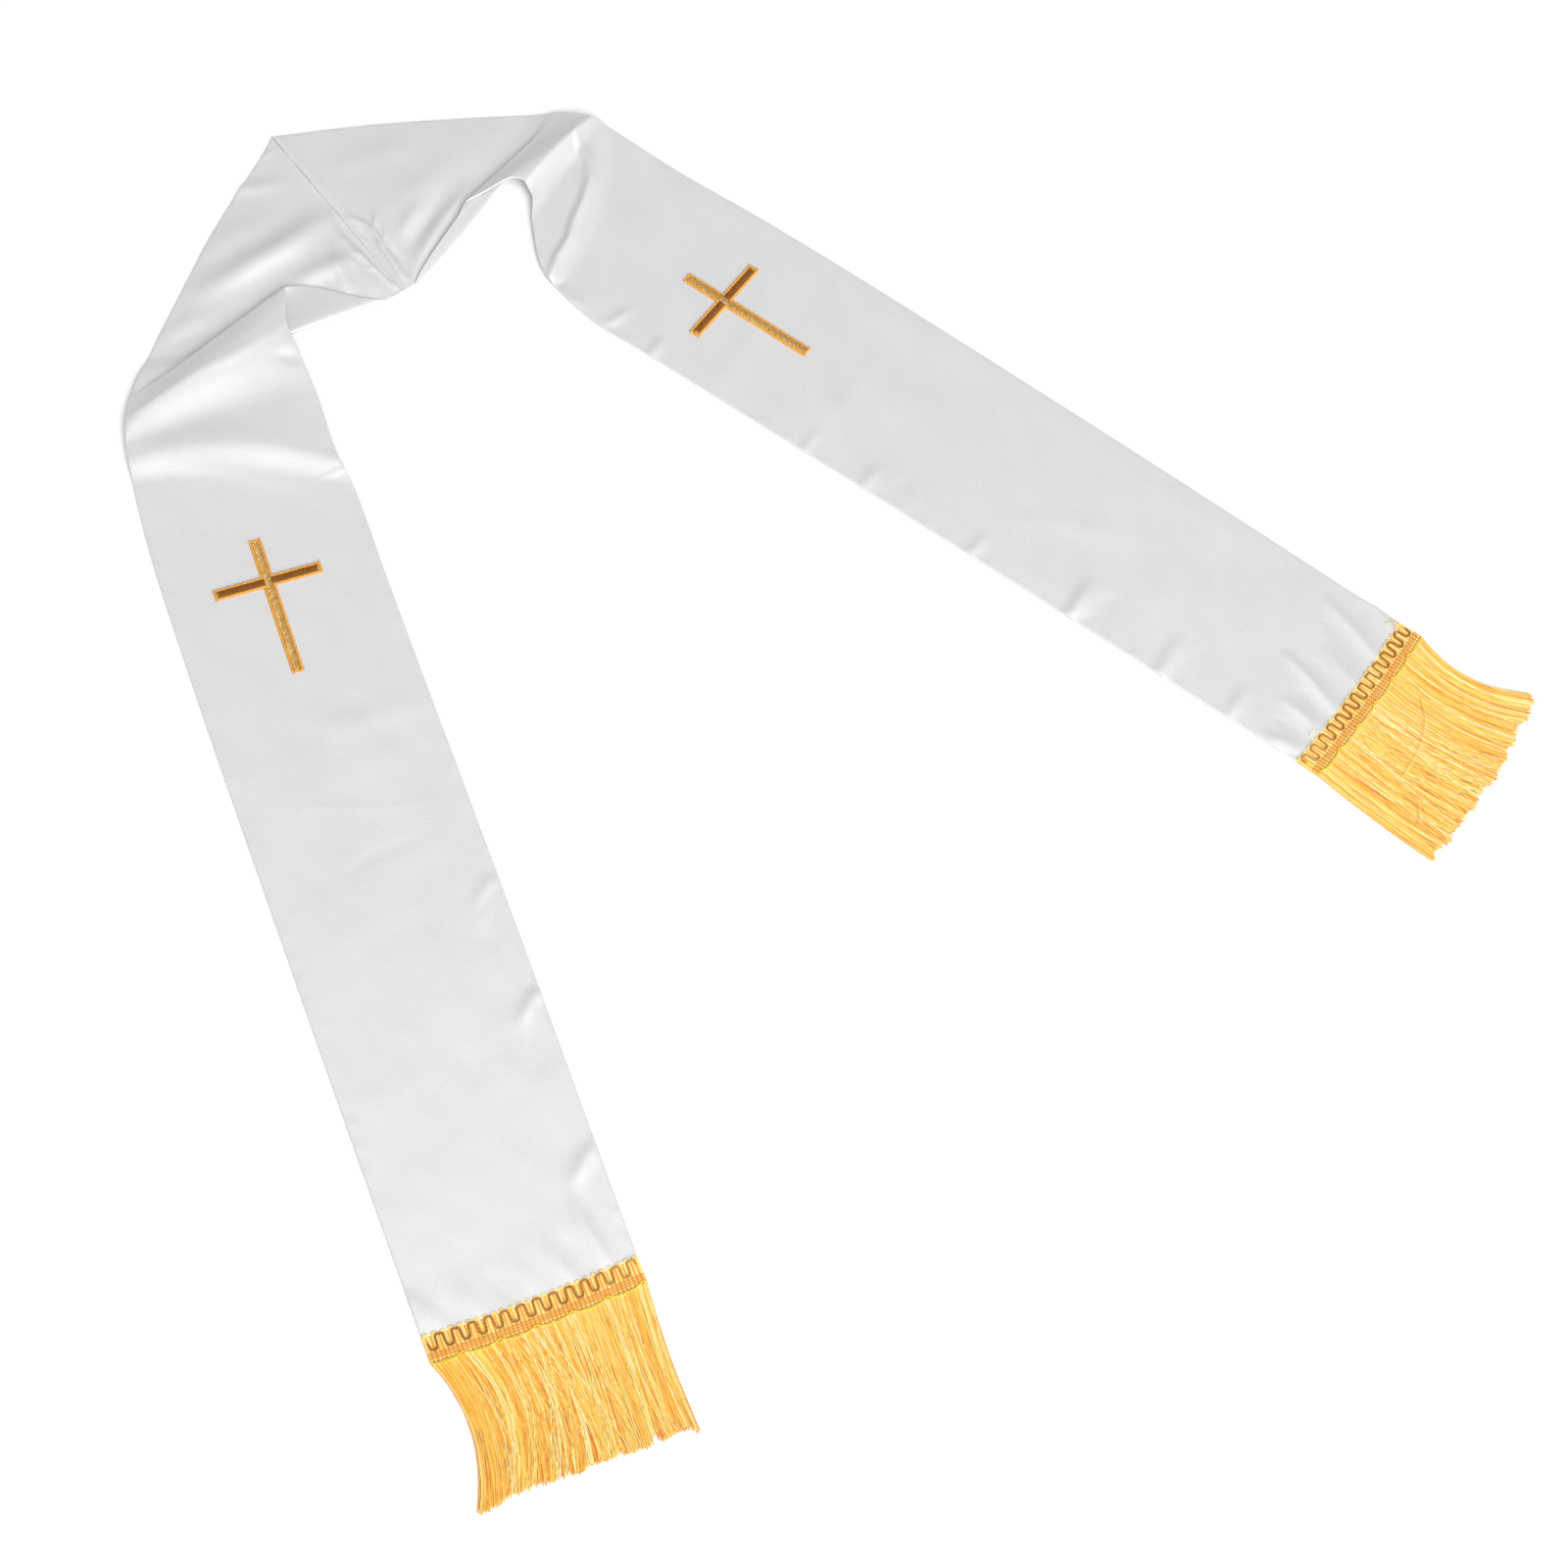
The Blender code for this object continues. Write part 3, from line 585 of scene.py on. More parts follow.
def makeSatin(name, key, side, crossPlace, material):
    grid, marks, across = satinGrid(stripRows[key])
    lineCount, columnCount = grid.shape[:2]
    halfWall = satinSet["wall"] / 2.0
    grid[0, :, 0] = 0.0
    # the hem runs on under the braid
    reach = np.linalg.norm(grid[:, :, :2] - grid[-1:, :, :2], axis=2)[:, :, None]
    letOut = satinSet["tuckUnderBraid"] * np.clip(1.0 - reach / satinSet["hemReach"], 0.0, 1.0)
    grid[:, :, :2] += hemward(grid[-1, -1, :2] - grid[-1, 0, :2]) * letOut
    edgeAway = np.minimum(across, 1.0 - across)[None, :] * satinSet["width"]
    runs = np.cumsum(np.linalg.norm(np.diff(grid, axis=0, prepend=grid[:1]), axis=2), axis=0)
    lift = satinLift(key, side, grid, marks, edgeAway, runs, crossPlace)
    grid[:, :, 2] = np.maximum(grid[:, :, 2] + lift, halfWall + satinSet["above"])
    # closed wall with rounded borders
    normals = np.cross(np.gradient(grid, axis=0), np.gradient(grid, axis=1)) * -side
    normals /= np.linalg.norm(normals, axis=2, keepdims=True) + 1e-12
    fromNape = np.abs(grid[:, :, 0]) + satinSet["napeRound"] + (marks > 1.0)[:, None] * satinSet["pastNape"]
    toBorder = np.minimum(edgeAway, np.minimum(fromNape, np.abs(runs[-1:] - runs)))
    share = np.clip(toBorder / satinSet["edgeRound"], 0.0, 1.0)
    half = halfWall * np.sqrt(np.clip(1.0 - (1.0 - share) ** 2, 0.0, 1.0))
    upper = grid + normals * half[:, :, None]
    lower = grid - normals * half[:, :, None]
    ids = np.arange(lineCount * columnCount).reshape(lineCount, columnCount)
    under = np.full((lineCount, columnCount), -1)
    under[0], under[-1], under[:, 0], under[:, -1] = ids[0], ids[-1], ids[:, 0], ids[:, -1]
    inside = (lineCount - 2, columnCount - 2)
    under[1:-1, 1:-1] = lineCount * columnCount + np.arange(inside[0] * inside[1]).reshape(inside)
    points = np.concatenate([upper.reshape(-1, 3), lower[1:-1, 1:-1].reshape(-1, 3)])
    faces = []
    for sheet, flip in ((ids, side > 0), (under, side < 0)):
        quads = np.stack([sheet[:-1, :-1], sheet[1:, :-1], sheet[1:, 1:], sheet[:-1, 1:]], axis=-1)
        quads = quads.reshape(-1, 4)
        faces += (quads[:, ::-1] if flip else quads).tolist()
    u = np.broadcast_to(across[None, :], (lineCount, columnCount))
    uvs = np.stack([u, runs / satinSet["length"]], axis=-1)
    # the reverse of the cloth has its u moved on by two
    uvs = np.concatenate([uvs.reshape(-1, 2), uvs[1:-1, 1:-1].reshape(-1, 2) + np.array([2.0, 0.0])])
    return newPiece(name, points, faces, uvs, material)


def whiteSatin():
    material, tree, shader = newMaterial("whiteSatin", 0.42, metallic=0.28, specular=0.6)
    setInputs(shader, {"Sheen Weight": 0.25, "Sheen Roughness": 0.35})
    uv = clothUV(tree)
    # the warp floats as long fine threads along the stole
    threads = addNoise(tree, uv, (520.0, 620.0, 1.0), detail=3.0, roughness=0.65)
    streaks = addNoise(tree, uv, (160.0, 14.0, 1.0))
    grains = addNoise(tree, uv, (190.0, 420.0, 1.0), roughness=0.6)
    soil = addNoise(tree, uv, (4.0, 26.0, 1.0), detail=3.0)
    tone = addRamp(tree, soil, [(0.3, (0.75, 0.75, 0.755)), (0.7, (0.785, 0.785, 0.785))])
    tint = addMultiply(tree, tone)
    grain = addRamp(tree, grains, [(0.3, (0.91, 0.91, 0.91)), (0.7, (1.0, 1.0, 1.0))])
    tree.links.new(grain, tint.inputs[7])
    # painted shade: the reverse of the cloth, which shows on the folded-over flaps, is painted a little
    # darker
    apart = tree.nodes.new("ShaderNodeSeparateXYZ")
    tree.links.new(uv, apart.inputs["Vector"])
    reverse = tree.nodes.new("ShaderNodeMath")
    reverse.operation = "GREATER_THAN"
    reverse.inputs[1].default_value = 1.5
    tree.links.new(apart.outputs["X"], reverse.inputs[0])
    # the darker base colour on the reverse is painted shade, not a different cloth
    paintedShadeOnReverse = addMultiply(tree, tint.outputs[2])
    paintedShadeOnReverse.inputs[7].default_value = (0.9, 0.9, 0.9, 1.0)
    tree.links.new(reverse.outputs["Value"], paintedShadeOnReverse.inputs[0])
    tree.links.new(paintedShadeOnReverse.outputs[2], shader.inputs["Base Color"])
    fine = addBump(tree, threads, 0.12, 0.0002)
    wide = addBump(tree, streaks, 0.10, 0.0006, under=fine)
    tree.links.new(addBump(tree, grains, 0.07, 0.0005, under=wide), shader.inputs["Normal"])
    return material


# x and y of the crossing of each cross, and its lean in degrees
crossPlaces = {"left": (-192.0, 298.0, -17.5), "right": (167.0, 303.0, 16.8)}
satin = whiteSatin()
satinLeft = makeSatin("satinLeft", "left", -1, crossPlaces["left"], satin)
satinRight = makeSatin("satinRight", "right", 1, crossPlaces["right"], satin)
print("satin laid", len(satinLeft.data.polygons), len(satinRight.data.polygons))


# crosses
crossSet = {
    "length": 98.0,
    "span": 68.0,
    "bar": 7.6,
    "armDrop": 31.0,
    "base": 1.28,             # height of the satin under the pad
    "padHeight": 0.62,
    "padInset": 0.35,
    "padBevel": 0.25,
    "threadRadius": 0.24,
    "rim": 1.55,              # width of the satin-stitched rim
    "rimPitch": 0.40,
    "rimTop": 1.12,           # above the satin
    "rimStitch": ((-0.03, -0.25), (0.10, 0.55), (0.42, 1.0), (0.78, 0.86), (1.0, 0.35)),
    "fan": 5,                 # steps of the fan of stitches in an inside corner
    "fillTop": 0.80,
    "fillPitch": 0.36,
    "fillStitch": ((0.0, 0.42), (0.15, 0.1), (0.5, 0.0), (0.85, 0.1), (1.0, 0.42)),
    "fillOverlap": 0.12,
    "barSlant": 32.0,         # degrees
    "armSlant": 12.0,
    "endStitches": 3,         # across each tip of the arms
    "endInset": 0.35,
    "endPitch": 0.42,
}


def threadMaterial(name, stops, roughness, metallic, specular=0.5, sheen=0.0, alongScale=40.0, bump=0.25,
                   byNumber=False):
    # threads differ a little in colour by their own number, and their twist shows in the bump
    material, tree, shader = newMaterial(name, roughness, metallic, specular)
    shader.inputs["Sheen Weight"].default_value = sheen
    uv = clothUV(tree)
    if byNumber:
        apart = tree.nodes.new("ShaderNodeSeparateXYZ")
        tree.links.new(uv, apart.inputs["Vector"])
        tone = apart.outputs["X"]
    else:
        tone = addNoise(tree, uv, (57.0, 1.6, 1.0), detail=1.0)
    tree.links.new(addRamp(tree, tone, stops), shader.inputs["Base Color"])
    twist = addNoise(tree, uv, (90.0, alongScale, 1.0), detail=1.0)
    tree.links.new(addBump(tree, twist, bump, 0.0002), shader.inputs["Normal"])
    return material


crossRimThread = threadMaterial(
    "crossRimThread", [(0.3, (0.72, 0.30, 0.035)), (0.7, (0.95, 0.50, 0.09))], 0.38, 0.15, 0.6)
crossBrightFill = threadMaterial(
    "crossBrightFill", [(0.3, (0.50, 0.25, 0.05)), (0.52, (0.72, 0.45, 0.13)), (0.7, (1.0, 0.80, 0.40))],
    0.30, 0.55, 0.7)
crossDarkFill = threadMaterial(
    "crossDarkFill", [(0.3, (0.24, 0.085, 0.016)), (0.7, (0.42, 0.17, 0.035))], 0.36, 0.45, 0.5)
crossPadCloth = threadMaterial(
    "crossPadCloth", [(0.3, (0.20, 0.07, 0.012)), (0.7, (0.30, 0.12, 0.02))], 0.6, 0.1, 0.3)


def turnedOut(points, place):
    lean = math.radians(place[2])
    points = np.asarray(points, float)
    x = place[0] + points[..., 0] * math.cos(lean) - points[..., 1] * math.sin(lean)
    y = place[1] + points[..., 0] * math.sin(lean) + points[..., 1] * math.cos(lean)
    return np.stack([x, y, points[..., 2] + crossSet["base"]], axis=-1)


def crossReaches(inset):
    # half the bar, then the reach of the arms, the top and the foot, all less the inset
    return (crossSet["bar"] / 2.0 - inset, crossSet["span"] / 2.0 - inset, crossSet["armDrop"] - inset,
            crossSet["length"] - crossSet["armDrop"] - inset)


def makeCrossPad(name, place, material):
    # by hand: a square at the crossing, its four sides drawn out to the arms, raised and bevelled
    half, arm, top, foot = crossReaches(crossSet["padInset"])
    reaches = {(0, 1): top - half, (0, -1): foot - half, (1, 0): arm - half, (-1, 0): arm - half}
    bpy.ops.mesh.primitive_plane_add(size=2.0 * half * mm)
    pad = bpy.context.object
    pad.name = name
    pad.data.name = name
    for (wayX, wayY), reach in reaches.items():
        bpy.ops.object.mode_set(mode="EDIT")
        bpy.ops.mesh.select_mode(type="EDGE")
        bpy.ops.mesh.select_all(action="DESELECT")
        bpy.ops.object.mode_set(mode="OBJECT")
        for edge in pad.data.edges:
            ends = [pad.data.vertices[corner].co for corner in edge.vertices]
            middle = (ends[0] + ends[1]) / 2.0
            edge.select = (Vector((wayX * half * mm, wayY * half * mm, 0.0)) - middle).length < 0.2 * mm
        bpy.ops.object.mode_set(mode="EDIT")
        bpy.ops.mesh.extrude_edges_move(
            TRANSFORM_OT_translate={"value": (wayX * reach * mm, wayY * reach * mm, 0.0)})
    bpy.ops.mesh.select_all(action="SELECT")
    bpy.ops.mesh.extrude_region_move(
        TRANSFORM_OT_translate={"value": (0.0, 0.0, crossSet["padHeight"] * mm)})
    bpy.ops.mesh.select_all(action="SELECT")
    bpy.ops.mesh.normals_make_consistent(inside=False)
    bpy.ops.object.mode_set(mode="OBJECT")
    bevel = pad.modifiers.new("softRim", "BEVEL")
    bevel.width = crossSet["padBevel"] * mm
    bevel.segments = 2
    bpy.ops.object.modifier_apply(modifier=bevel.name)
    coords = np.array([tuple(vert.co) for vert in pad.data.vertices]) / mm
    coords = toFrame(turnedOut(coords, place))
    for vert, spot in zip(pad.data.vertices, coords):
        vert.co = spot
    layer = pad.data.uv_layers.active or pad.data.uv_layers.new(name="clothUV")
    layer.name = "clothUV"
    pad.data.materials.append(material)
    pad.data.shade_smooth()
    bpy.ops.object.select_all(action="DESELECT")
    return pad


def stitchedPiece(name, stitches, place, draw, material):
    paths = turnedOut(np.array(stitches), place)
    marks = [draw.random() for stitch in stitches]
    return newPiece(name, *threadMesh(paths, crossSet["threadRadius"], marks=marks), material)


def makeCrossRim(name, place, seed, material):
    draw = random.Random(seed)
    half, arm, top, foot = crossReaches(0.0)
    corners = np.array([
        (-half, -foot), (half, -foot), (half, -half), (arm, -half), (arm, half), (half, half),
        (half, top), (-half, top), (-half, half), (-arm, half), (-arm, -half), (-half, -half)])
    rim = crossSet["rim"]
    stitches = []

    def stitch(spot, way, reach):
        # over the rim from its outer to its inner side
        slack = draw.uniform(-0.07, 0.07)
        lean = draw.uniform(-0.12, 0.12)
        run = []
        for share, height in crossSet["rimStitch"]:
            away = share * (reach + slack)
            run.append((spot[0] + way[0] * away - way[1] * lean * share,
                        spot[1] + way[1] * away + way[0] * lean * share, crossSet["rimTop"] * height))
        stitches.append(run)

    for index in range(12):
        start, end, before = corners[index], corners[(index + 1) % 12], corners[index - 1]
        length = np.linalg.norm(end - start)
        way = (end - start) / length
        inward = np.array([-way[1], way[0]])
        came = (start - before) / np.linalg.norm(start - before)
        turnsLeft = came[0] * way[1] - came[1] * way[0] > 0.0
        first = rim * 0.92 if turnsLeft else 0.0
        count = int((length - first) / crossSet["rimPitch"])
        for number in range(count + 1):
            stitch(start + way * (first + (length - first) * number / count), inward, rim)
        if not turnsLeft:
            # a fan of stitches fills the inside corner
            cameInward = np.array([-came[1], came[0]])
            for number in range(1, crossSet["fan"]):
                share = number / crossSet["fan"]
                blend = cameInward * (1.0 - share) + inward * share
                blend /= np.linalg.norm(blend)
                stitch(start, blend, rim * (1.0 + 0.25 * math.sin(math.pi * share)))
    return stitchedPiece(name, stitches, place, draw, material)


def makeCrossFill(name, place, seed, material, bars, slant, ends=()):
    # bars are (x0, x1, y0, y1, alongY); threads cross each bar at a slant
    draw = random.Random(seed)
    stitches = []
    for x0, x1, y0, y1, alongY in bars:
        low, high = (y0, y1) if alongY else (x0, x1)
        side0, side1 = (x0, x1) if alongY else (y0, y1)
        count = int((high - low) / crossSet["fillPitch"])
        for number in range(count + 1):
            at = low + (high - low) * number / count
            offset = math.tan(slant) * (side1 - side0) / 2.0
            height = crossSet["fillTop"] + draw.uniform(-0.08, 0.10)
            run = []
            for share, drop in crossSet["fillStitch"]:
                along = at + offset * (2.0 * share - 1.0) + draw.uniform(-0.04, 0.04)
                along = min(max(along, low), high)
                aside = side0 + (side1 - side0) * share
                run.append((aside, along, height - drop) if alongY else (along, aside, height - drop))
            stitches.append(run)
    for x0, y0, x1, y1, height in ends:
        stitches.append([
            (x0 + (x1 - x0) * s, y0 + (y1 - y0) * s, height - 0.5 * (2.0 * s - 1.0) ** 2)
            for s in (0.0, 0.2, 0.5, 0.8, 1.0)])
    return stitchedPiece(name, stitches, place, draw, material)


def makeCross(key, seed):
    place = crossPlaces[key]
    tag = key.capitalize()
    half, arm, top, foot = crossReaches(crossSet["rim"] - crossSet["fillOverlap"])
    pad = makeCrossPad("crossPad" + tag, place, crossPadCloth)
    rim = makeCrossRim("crossRim" + tag, place, seed, crossRimThread)
    ends = []
    for way in (-1.0, 1.0):
        for number in range(crossSet["endStitches"]):
            x = way * (arm - crossSet["endInset"] - crossSet["endPitch"] * number)
            stitchTop = crossSet["fillTop"] + 0.28 - 0.05 * number
            ends.append((x, -half + 0.3, x + 0.15, half - 0.3, stitchTop))
    bright = makeCrossFill(
        "crossLongBar" + tag, place, seed + 1, crossBrightFill,
        [(-half, half, -foot, top, True)], math.radians(crossSet["barSlant"]), ends)
    dark = makeCrossFill(
        "crossArms" + tag, place, seed + 2, crossDarkFill,
        [(-arm, -half - 0.1, -half, half, False), (half + 0.1, arm, -half, half, False)],
        math.radians(crossSet["armSlant"]))
    return [pad, rim, bright, dark]


crossLeft = makeCross("left", 31)
crossRight = makeCross("right", 41)
print("crosses stitched")


# braid
braidSet = {
    "gap": 0.3,
    "depth": 18.0,
    "bandDrops": (0.9, 18.2),
    "bandHeights": (0.15, 1.0),
    "bandStops": 61,
    "loops": 26,              # two to each wave of the cord
    "threadsInRib": 3,
    "ribThread": 0.40,
    "ribSpread": 0.53,
    "ribDrops": [17.9, 14.8, 11.8, 8.8, 5.8, 3.4],
    "ribHeight": 1.35,
    "ribCrown": (0.45, 3.5),  # how much higher the ribs are at the upper edge, and how far down
    "loopDrop": 2.6,          # from the upper edge to the middle of each loop
    "loopSteps": 8,
    "weftDrops": (12.7, 14.1, 15.5),
    "weftThread": 0.30,
    "weftHeight": 1.95,
    "weftDip": 0.28,
    "scallops": 6,
    "chainDrop": 17.3,
    "chainDip": 1.5,
    "chainHeight": 2.15,
    "chainCord": (0.31, 0.27, 2.3),    # radius of a ply, its offset and the length of a turn
    "waves": 13,
    "waveReach": 4.0,
    "waveDrop": 6.6,
    "waveSquare": 1.5,        # how steep the flanks of the waves are
    "waveHeight": 2.55,
    "metalCord": (0.36, 0.30, 2.0),
}

hemShapes = {
    "left": {"side": -1, "length": (83.5, 82.0, 85.0), "tip": (3.0, 1.5, 3.2), "sway": (-9.0, -3.0, 2.5),
             "tangle": 0.44, "seed": 51},
    "right": {"side": 1, "length": (81.5, 82.5, 84.5), "tip": (8.5, 3.0, -5.5), "sway": (-8.5, -3.0, -3.0),
              "tangle": 0.60, "seed": 61},
}


def hemFrame(key):
    hem = stripRows[key][-1]
    outer, inner = np.array(hem[1:3], float), np.array(hem[5:7], float)
    width = np.linalg.norm(inner - outer)
    line = (inner - outer) / width
    return outer, line, hemward(line), width, float(hem[8])


def onBraid(key, stops, drops, heights, across=None):
    # stops along the hem from its outer end, drops below the braid's upper edge
    outer, line, down, width, bow = hemFrame(key)
    stops, drops, heights = np.broadcast_arrays(stops, drops, heights)
    fall = braidSet["gap"] + drops + bow * arch(stops / width if across is None else across)
    places = outer + line * stops[..., None] + down * fall[..., None]
    return np.concatenate([places, heights[..., None]], axis=-1)


ribThread = threadMaterial(
    "braidRibThread", [(0.3, (0.94, 0.54, 0.09)), (0.7, (1.0, 0.80, 0.30))], 0.36, 0.0, 0.6, 0.15, 60.0)
weftThread = threadMaterial(
    "braidWeftThread", [(0.3, (0.84, 0.31, 0.02)), (0.7, (0.95, 0.44, 0.05))], 0.42, 0.0, 0.5, 0.1, 60.0)
chainThread = threadMaterial(
    "braidChainThread", [(0.3, (0.90, 0.58, 0.015)), (0.7, (1.0, 0.76, 0.05))], 0.38, 0.0, 0.6, 0.1, 60.0)
cordMetal = threadMaterial(
    "braidCordMetal", [(0.3, (0.24, 0.08, 0.01)), (0.52, (0.47, 0.20, 0.03)), (0.7, (0.95, 0.60, 0.18))],
    0.34, 0.45, 0.6, 0.0, 150.0, 0.55)


def makeBacking(key, name):
    # a band thick enough to close the gaps between the ribs
    width = hemFrame(key)[3]
    count = braidSet["bandStops"]
    stops = np.linspace(0.15, width - 0.15, count)
    (upper, lower), (bottom, top) = braidSet["bandDrops"], braidSet["bandHeights"]
    profile = ((upper, bottom), (lower, bottom), (lower, top), (upper, top))
    band = np.stack([onBraid(key, stops, drop, height) for drop, height in profile], axis=1)
    ids = np.arange(count * 4).reshape(count, 4)
    faces = []
    for corner in range(4):
        follow = (corner + 1) % 4
        faces += np.stack([ids[:-1, corner], ids[1:, corner], ids[1:, follow], ids[:-1, follow]], -1).tolist()
    faces += [ids[0].tolist(), ids[-1, ::-1].tolist()]
    if hemShapes[key]["side"] > 0:
        faces = [face[::-1] for face in faces]
    uvs = np.stack([np.repeat(stops / width, 4), np.tile([0.0, 1.0, 1.0, 0.0], count)], axis=1)
    return newPiece(name, band.reshape(-1, 3), faces, uvs, weftThread, smooth=False)


def makeRibs(key, name, draw):
    # each hairpin of three threads comes up one rib, turns in a loop and goes down the next
    width = hemFrame(key)[3]
    pitch = width / braidSet["loops"]
    drops = braidSet["ribDrops"]
    crown, crownReach = braidSet["ribCrown"]
    hairpins = []
    for loop in range(braidSet["loops"]):
        middle = (loop + 0.5) * pitch + draw.uniform(-0.12, 0.12)
        rise = draw.uniform(-0.15, 0.25)
        for thread in range(braidSet["threadsInRib"]):
            radius = pitch / 4.0 + (thread - 1) * braidSet["ribSpread"]
            run = [(middle - radius, drop) for drop in drops]
            for turn in range(1, braidSet["loopSteps"]):
                angle = math.pi * turn / braidSet["loopSteps"]
                drop = braidSet["loopDrop"] - rise - (radius * 1.05) * math.sin(angle)
                run.append((middle - radius * math.cos(angle), drop))
            run += [(middle + radius, drop) for drop in reversed(drops)]
            sway = draw.uniform(-0.08, 0.08)
            path = []
            for number, (stop, drop) in enumerate(run):
                raised = crown * math.exp(-((drop / crownReach) ** 2))
                raised += 0.12 * math.sin(number * 1.9 + loop + thread)
                path.append((stop + sway, drop, braidSet["ribHeight"] + raised))
            hairpins.append(path)
    hairpins = np.array(hairpins)
    paths = onBraid(key, np.clip(hairpins[..., 0], 0.1, width - 0.1), hairpins[..., 1], hairpins[..., 2])
    marks = [draw.random() for hairpin in hairpins]
    return newPiece(name, *threadMesh(paths, braidSet["ribThread"], sides=6, marks=marks), ribThread)


def makeBraid(key):
    tag = key.capitalize()
    width = hemFrame(key)[3]
    loops, waves = braidSet["loops"], braidSet["waves"]
    backing = makeBacking(key, "braidBacking" + tag)
    ribs = makeRibs(key, "braidRibs" + tag, random.Random(hemShapes[key]["seed"]))
    # weft lines dip between the ribs
    stops = np.linspace(0.2, width - 0.2, loops * 8 + 1)
    beat = np.cos(stops / (width / loops) * 4.0 * math.pi)
    heights = braidSet["weftHeight"] - braidSet["weftDip"] * beat
    wefts = [onBraid(key, stops, drop + 0.08 * np.sin(stops / 5.0 + drop), heights)
             for drop in braidSet["weftDrops"]]
    tubes = threadMesh(np.array(wefts), braidSet["weftThread"], sides=5)
    weft = newPiece("braidWeft" + tag, *tubes, weftThread)
    # chain stitch in shallow scallops along the lower edge
    stops = np.linspace(0.3, width - 0.3, 240)
    scallop = np.abs(np.sin(math.pi * braidSet["scallops"] * stops / width + 0.4)) ** 0.7
    drops = braidSet["chainDrop"] + braidSet["chainDip"] * (scallop - 0.5) * 2.0
    path = onBraid(key, stops, drops, braidSet["chainHeight"])
    chain = newPiece("braidChain" + tag, *pliedCord(path, *braidSet["chainCord"]), chainThread)
    # metallic cord in steep waves
    turns = np.linspace(0.0, waves, waves * 40 + 1)
    angle = turns * 2.0 * math.pi
    steep = np.tanh(braidSet["waveSquare"] * np.sin(angle)) / math.tanh(braidSet["waveSquare"])
    uneven = 0.35 * np.sin(turns * 2.1) + 0.25 * np.sin(turns * 4.7 + 1.0)
    stops = 2.5 + (width - 5.0) * turns / waves - 0.66 * np.sin(2.0 * angle)
    drops = braidSet["waveDrop"] + (braidSet["waveReach"] + 0.4 * uneven) * steep
    path = onBraid(key, stops, drops, braidSet["waveHeight"] + 0.12 * np.cos(angle * 2.0))
    cord = newPiece("braidCord" + tag, *pliedCord(path, *braidSet["metalCord"]), cordMetal)
    return {"backing": backing, "ribs": ribs, "weft": weft, "chain": chain, "cord": cord}


braidLeft = makeBraid("left")
braidRight = makeBraid("right")
print("braids woven")


# fringe
fringeSet = {
    "strands": 1050,
    "points": 14,
    "radius": 0.38,
    "thinner": 0.25,          # share of the radius that is lost at the tip
    "startDrop": 17.2,
    "inset": 0.4,             # of the outermost strands
    "shorter": 1.2,
    "lengthSpread": 0.9,
    "clump": 6.5,             # mean width of a clump of strands
    "clumpSizes": (0.45, 1.6),
    "clumpSpread": 0.9,       # strands go to a neighbouring clump within this distance
    "clumpDrift": 1.2,
    "clumpBend": 0.9,
    "clumpCut": 1.8,          # how unevenly the clumps are cut
    "pull": 0.34,             # how far the upper strands of a clump draw together at their tips
    "fan": (0.55, 0.04, 0.13),    # share of strands that fan out, where after the tangle, how wide
    "fanReach": (-22.0, 18.0),
    "crossing": (0.08, 0.50, 0.15),    # share everywhere, further share at the tangle, how wide
    "crossReach": 11.0,
    "stayInside": 4.0,
    "lean": 0.55,
    "curl": 0.35,
    "kink": 0.20,
    "rootHeight": 1.1,
    "rootRise": 1.0,          # from the lowest to the highest layer
    "hump": 0.2,
    "lowest": 0.32,
    "highest": 1.9,
    "highestHump": 2.4,
    "tone": (0.03, 0.70, 0.20),    # of the lowest layer, added for the highest, spread; the layer term is painted shade and light, deeper orange low in the fringe and paler on top
}


